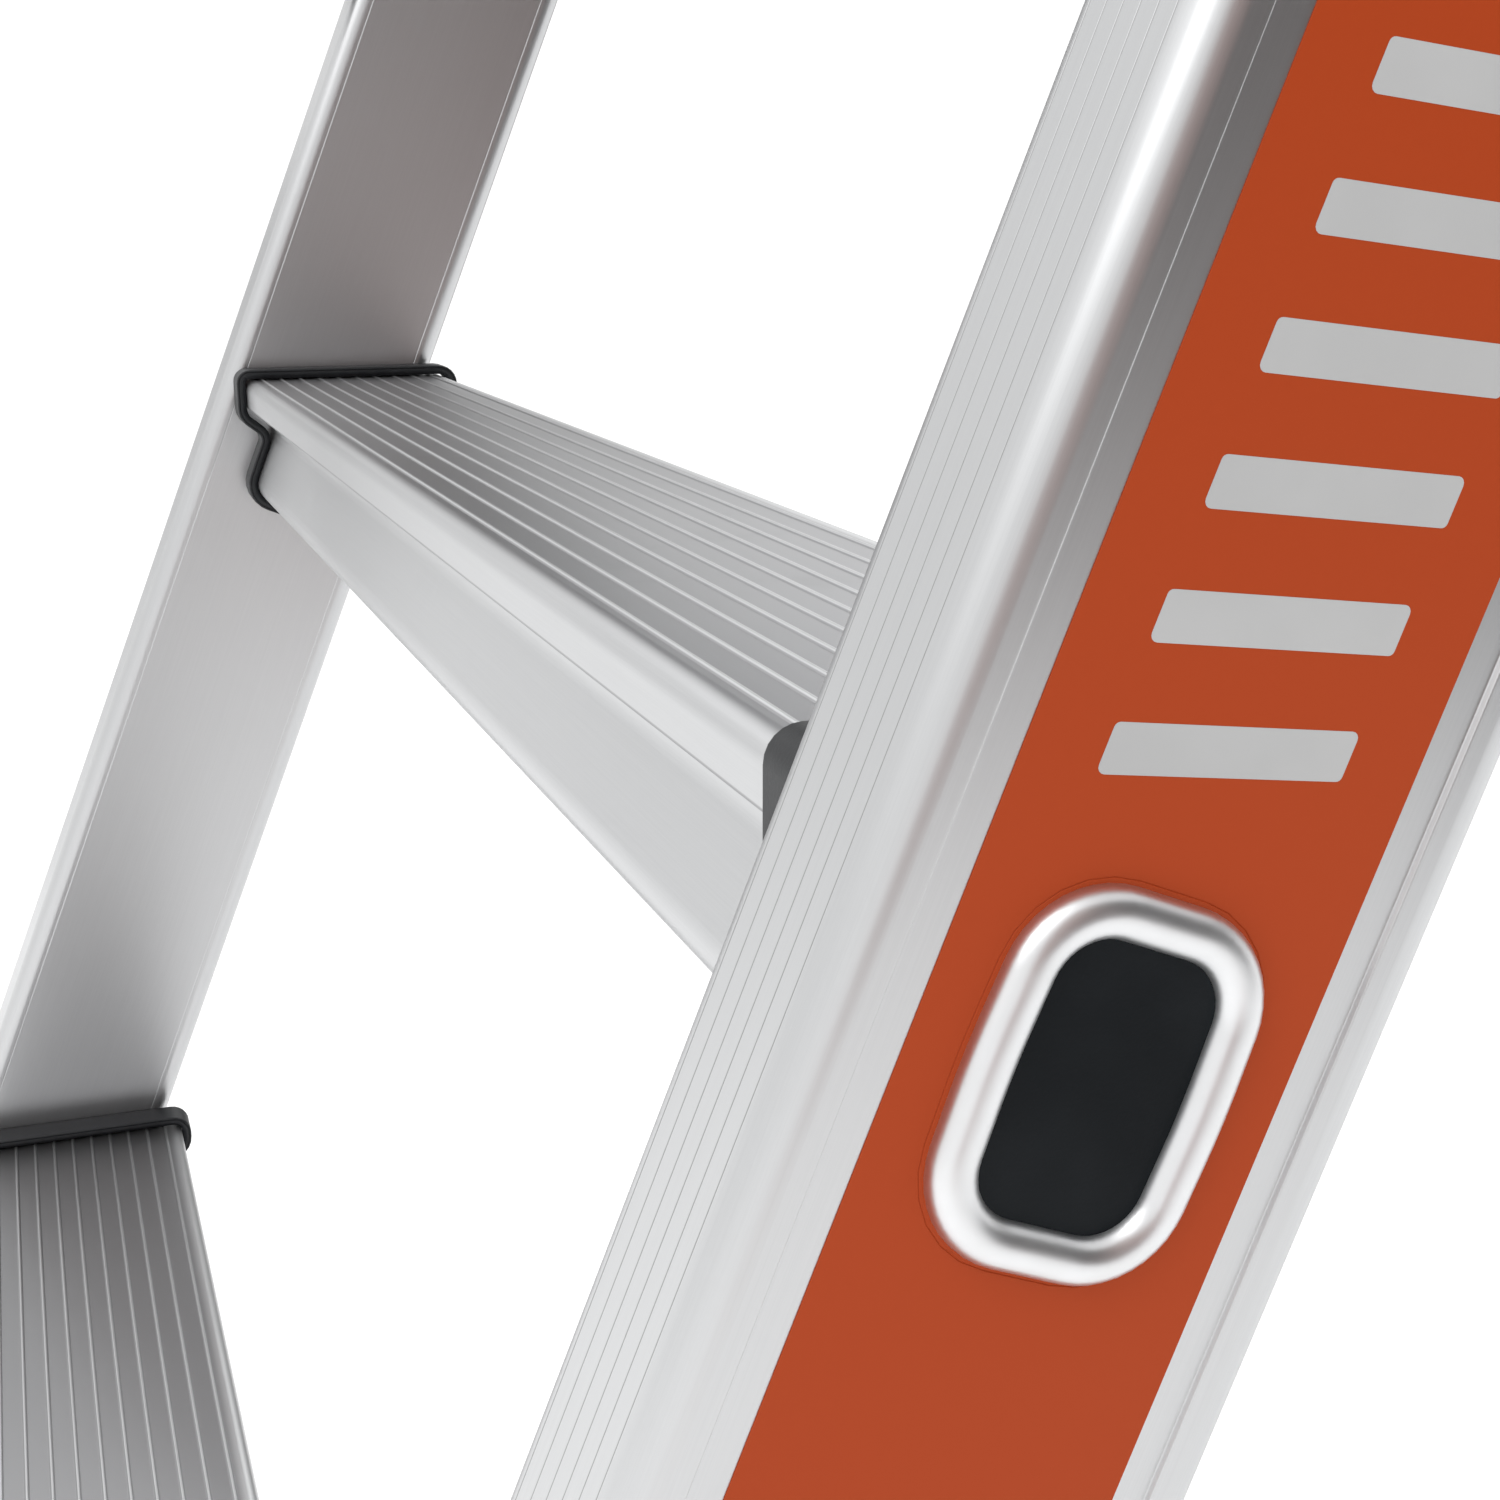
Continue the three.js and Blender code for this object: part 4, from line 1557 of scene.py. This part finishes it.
@dataclass
class Lock:
    """Cast lock that hangs from a pin on the fly and stands on a base tread."""

    thickness: float = 6.0
    boss: float = 10.0
    boss_neck: float = 4.0  # half the length of the taper between the boss and the arm
    boss_corner: float = 5.0
    boss_flat: float = 0.2  # half the flat at the top of the boss
    neck_corner: float = 12.0
    neck: float = 12.0
    shoe: float = 20.0
    shoe_height: float = 12.0
    shoe_rise: float = 2.0
    sole: float = 94.6
    sole_roundness: float = 0.7  # the sole's radius as a share of its distance from the pin
    corner: float = 1.2
    shoulder_corner: float = 2.5
    arm_corner: float = 4.0
    swing: float = math.radians(50)
    edge: float = 0.9
    pocket: float = 0.8
    pocket_rim: float = 1.5
    pocket_lip: tuple = (0.3, 0.2)  # how far in and how deep the lip of the pocket goes
    near_gap: float = 12.6  # stile's inner face to the lock's nearer face
    pin_radius: float = 4.0
    pin_gap: float = 0.3
    spacer: float = 12.3
    spacer_foot: float = 0.6
    spacer_edge: float = 0.4
    head_radius: float = 7.5
    head_profile: tuple = (  # washer and dome, in from the rim and out along the pin
        (0.2, 0.0), (0.0, 0.3), (0.0, 0.9), (0.3, 1.1),
        (1.2, 1.1), (1.5, 1.7), (2.3, 2.6), (3.4, 3.0),
    )

    def corners(self) -> list:
        """Corners of the lock, hanging straight down from its pin.

        Returns:
            x, z and radius of each corner, with the pin at the origin.
        """
        half, arm, boss, neck = self.shoe / 2, self.neck / 2, self.boss, self.boss_neck
        shoulder = -self.sole + self.shoe_height
        rise = self.sole - math.sqrt(self.sole**2 - half**2)
        right = [
            (half, -self.sole + rise, self.corner),
            (half, shoulder, self.shoulder_corner),
            (arm, shoulder + self.shoe_rise, self.arm_corner),
            (arm, -boss - neck, self.neck_corner),
            (boss, -boss + neck, self.boss_corner),
            (boss, boss, boss - self.boss_flat),
        ]
        left = [(-x, z, radius) for x, z, radius in right[::-1]]
        return [(0, -self.sole, self.sole * self.sole_roundness), *right, *left]

    def _arm_rings(self, near: float) -> list:
        """Rings of the lock's plate, with a shallow pocket in the face away from the stile.

        Args:
            near: distance of the plate's face next to the stile.

        Returns:
            Pairs of growth and distance across.
        """
        far = near - self.thickness
        rim = -self.edge - self.pocket_rim
        floor, depth = rim - self.pocket, far + self.pocket
        inward, down = self.pocket_lip
        pocket = [(floor - SUPPORT, depth), (floor, depth), (rim - inward, far + down), (rim, far)]
        return [*pocket, *rounded_ends(far, near, self.edge, 3)]

    def _pin_rings(self, stile: Stile) -> list:
        """Rings of the pin: a spacer on the stile, the shank through the lock, a washer and a head.

        Args:
            stile: the stile's sizes.

        Returns:
            Pairs of radius and distance across.
        """
        wall, spacer = stile.inner - self.pin_gap, stile.inner - self.spacer
        head = stile.inner - self.near_gap - self.thickness - self.pin_gap
        wide, foot, edge = self.head_radius, self.spacer_foot, self.spacer_edge
        return [
            (wide - foot, wall),
            (wide, wall - foot),
            (wide, spacer + edge),
            (wide - edge, spacer),
            (self.pin_radius, spacer),
            (self.pin_radius, head),
            *((wide - inward, head - out) for inward, out in self.head_profile),
        ]

    def build(self, section: Section, stile: Stile, finishes: Finishes) -> None:
        """Makes both locks, folded forwards, and their pins.

        Args:
            section: the section that the pieces belong to.
            stile: the stile's sizes.
            finishes: the ladder's finishes.
        """
        x, _, z = section.middle("lock_pin_left")
        shell = Shell().loft(self.corners(), self._arm_rings(stile.inner - self.near_gap), Plane.SIDE)
        shell.turned(self.swing - section.lean, x, z)
        pair(section, "lock_*_arm", shell, finishes.lock, "lock_strut_*", "lock_*")
        pin = Shell().loft(circle(x, z), self._pin_rings(stile), Plane.SIDE, steps=8)
        pair(section, "lock_*_bolt", pin, finishes.pin, "lock_pin_*")


# ---------- studio ----------


@dataclass(frozen=True)
class SoftLight:
    """Square soft light, placed in metres and aimed at a point up the middle of the floor."""

    name: str
    place: tuple[float, float, float]
    power: float
    size: float = 3.0
    aim: float = 1.0

    def build(self) -> None:
        """Makes the light and turns it to its aim."""
        data = bpy.data.lights.new(self.name, "AREA")
        data.size = self.size
        data.energy = self.power
        light = bpy.data.objects.new(self.name, data)
        light.location = self.place
        x, y, z = np.array([0, 0, self.aim]) - self.place
        light.rotation_euler = (math.atan2(math.hypot(x, y), -z), 0, math.atan2(-x, y))
        bpy.context.scene.collection.objects.link(light)


@dataclass(frozen=True)
class Card:
    """Upright card beside the ladder, which only shows in the metal's gloss."""

    name: str
    across: float
    front: float
    width: float
    height: float
    finish: DullCard

    def build(self) -> None:
        """Makes the card, standing on the floor."""
        centre = (self.front + self.width / 2, self.across, self.height / 2)
        card = add_sheet(self.name, self.width, self.height, centre, self.finish)
        card.rotation_euler = (math.pi / 2, 0, 0)
        card.visible_camera = False
        card.visible_diffuse = False
        card.visible_shadow = False


def add_sheet(name: str, width: float, height: float, centre: tuple, finish: Finish) -> bpy.types.Object:
    """Makes a level rectangle of the stage, width along x and height along y.

    Args:
        name: the sheet's name.
        width: its size along x, in metres.
        height: its size along y, in metres.
        centre: its middle.
        finish: its finish.

    Returns:
        The object, which is part of the stage.
    """
    mesh = bpy.data.meshes.new(name)
    x, y = width / 2, height / 2
    mesh.from_pydata([(-x, -y, 0), (x, -y, 0), (x, y, 0), (-x, y, 0)], [], [(0, 1, 2, 3)])
    mesh.materials.append(finish.material())
    sheet = bpy.data.objects.new(name, mesh)
    sheet.location = centre
    bpy.context.scene.collection.objects.link(sheet)
    return sheet


@dataclass
class Studio:
    """Plain pale floor, soft lights and the camera beside the right-hand stile."""

    lens: float = 50.0
    azimuth: float = -19.5
    elevation: float = 14.7
    ahead: float = 75.2  # camera in front of the third base tread's nose, mm
    beside: float = 189.6  # camera outside the near stile's inner face, mm
    above: float = 56.0  # camera above that tread, mm
    clip: float = 0.01
    floor_width: float = 60.0
    sun: float = 1.25
    sun_angle: float = math.radians(120)
    zenith: float = 0.38  # light from high behind the ladder, as a share of the horizon's
    fade_height: float = 0.45
    fade_side: float = 0.25
    backdrop: float = 1.15

    def build(self) -> None:
        """Makes the floor, the cards, the lights, the world and the camera."""
        warm = DullCard("dull_card", "", front=(0.37, 0.25, 0.23, 1.0))
        plain = DullCard("grey_card", "", front=grey(0.3), rear=grey(0.3))
        add_sheet("floor", self.floor_width, self.floor_width, (0, 0, 0), PaleFloor("pale_floor", ""))
        Card("dark_card", -2.75, -0.6, 5.7, 3.2, warm).build()
        Card("far_card", 2.6, -0.7, 3.0, 1.1, plain).build()
        self._world()
        SoftLight("key", (-3.0, -1.5, 4.5), 60.0).build()
        SoftLight("back", (1.5, 4.0, 3.5), 30.0).build()
        self._sun()
        self._camera()

    def _sun(self) -> None:
        """Adds a wide, soft light from above, which keeps the floor evenly pale."""
        data = bpy.data.lights.new("sky", "SUN")
        data.energy = self.sun
        data.angle = self.sun_angle
        bpy.context.scene.collection.objects.link(bpy.data.objects.new("sky", data))

    def _world(self) -> None:
        """Surrounds the ladder with light that fades upwards behind it; seen directly it is white."""
        world = bpy.data.worlds.new("studio")
        world.use_nodes = True
        tree = world.node_tree
        tree.nodes.clear()
        shader = Shader.of_tree(tree)
        towards = shader.node("ShaderNodeTexCoord", {}, {}, "Generated")
        rise = shader.node("ShaderNodeSeparateXYZ", {}, {0: towards}, "Z")
        behind = shader.node("ShaderNodeSeparateXYZ", {}, {0: towards}, "X")
        fade = rise.ramp(0.0, self.fade_height) * behind.ramp(-self.fade_side, self.fade_side)
        seen = shader.node("ShaderNodeLightPath", {}, {}, "Is Camera Ray")
        strength = (1.0 - fade * (1.0 - self.zenith)) * (1.0 - seen) + seen * self.backdrop
        light = shader.node("ShaderNodeBackground", {}, {"Color": grey(1.0), "Strength": strength})
        output = tree.nodes.new("ShaderNodeOutputWorld")
        tree.links.new(light.socket, output.inputs["Surface"])
        bpy.context.scene.world = world
        bpy.context.scene.view_settings.view_transform = "Standard"

    def _camera(self) -> None:
        """Makes the camera, placed from the third base tread and the near stile."""
        data = bpy.data.cameras.new("camera")
        data.lens = self.lens
        data.clip_start = self.clip
        camera = bpy.data.objects.new("camera", data)
        low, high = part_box("base_tread_3")
        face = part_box("base_stile_right")[1].y
        camera.location = (low.x - self.ahead * MM, face - self.beside * MM, high.z + self.above * MM)
        camera.rotation_euler = (math.radians(90 - self.elevation), 0, math.radians(self.azimuth))
        bpy.context.scene.collection.objects.link(camera)
        bpy.context.scene.camera = camera


# ---------- the ladder ----------


def main() -> None:
    """Builds the studio and every sub-assembly of the two sections."""
    logging.basicConfig(level=logging.INFO, format="%(name)s %(message)s")
    base = Section("base", treads=7)
    fly = Section("fly", treads=6)
    finishes = Finishes(base.lean)
    stile, tread, tube_end = Stile(), Tread(), TubeEnd()
    rivet, flush_rivet = Rivet(), Rivet(height=0.35)
    for section in (base, fly):
        stile.build(section, finishes)
        tread.build(section, stile, finishes)
        Collar().build(section, stile, tread, finishes)
        tube_end.build(section, stile, finishes)
        EndCap().build(section, stile, finishes)
    Label().build(base, stile, tube_end, finishes)
    Foot().build(base, stile, rivet, finishes)
    WallCap().build(fly, stile, rivet, finishes)
    Guide("upper", turned=False).build(base, stile, flush_rivet, finishes)
    Guide("lower", turned=True).build(fly, stile, flush_rivet, finishes)
    Lock().build(fly, stile, finishes)
    Studio().build()


if __name__ == "__main__":
    main()
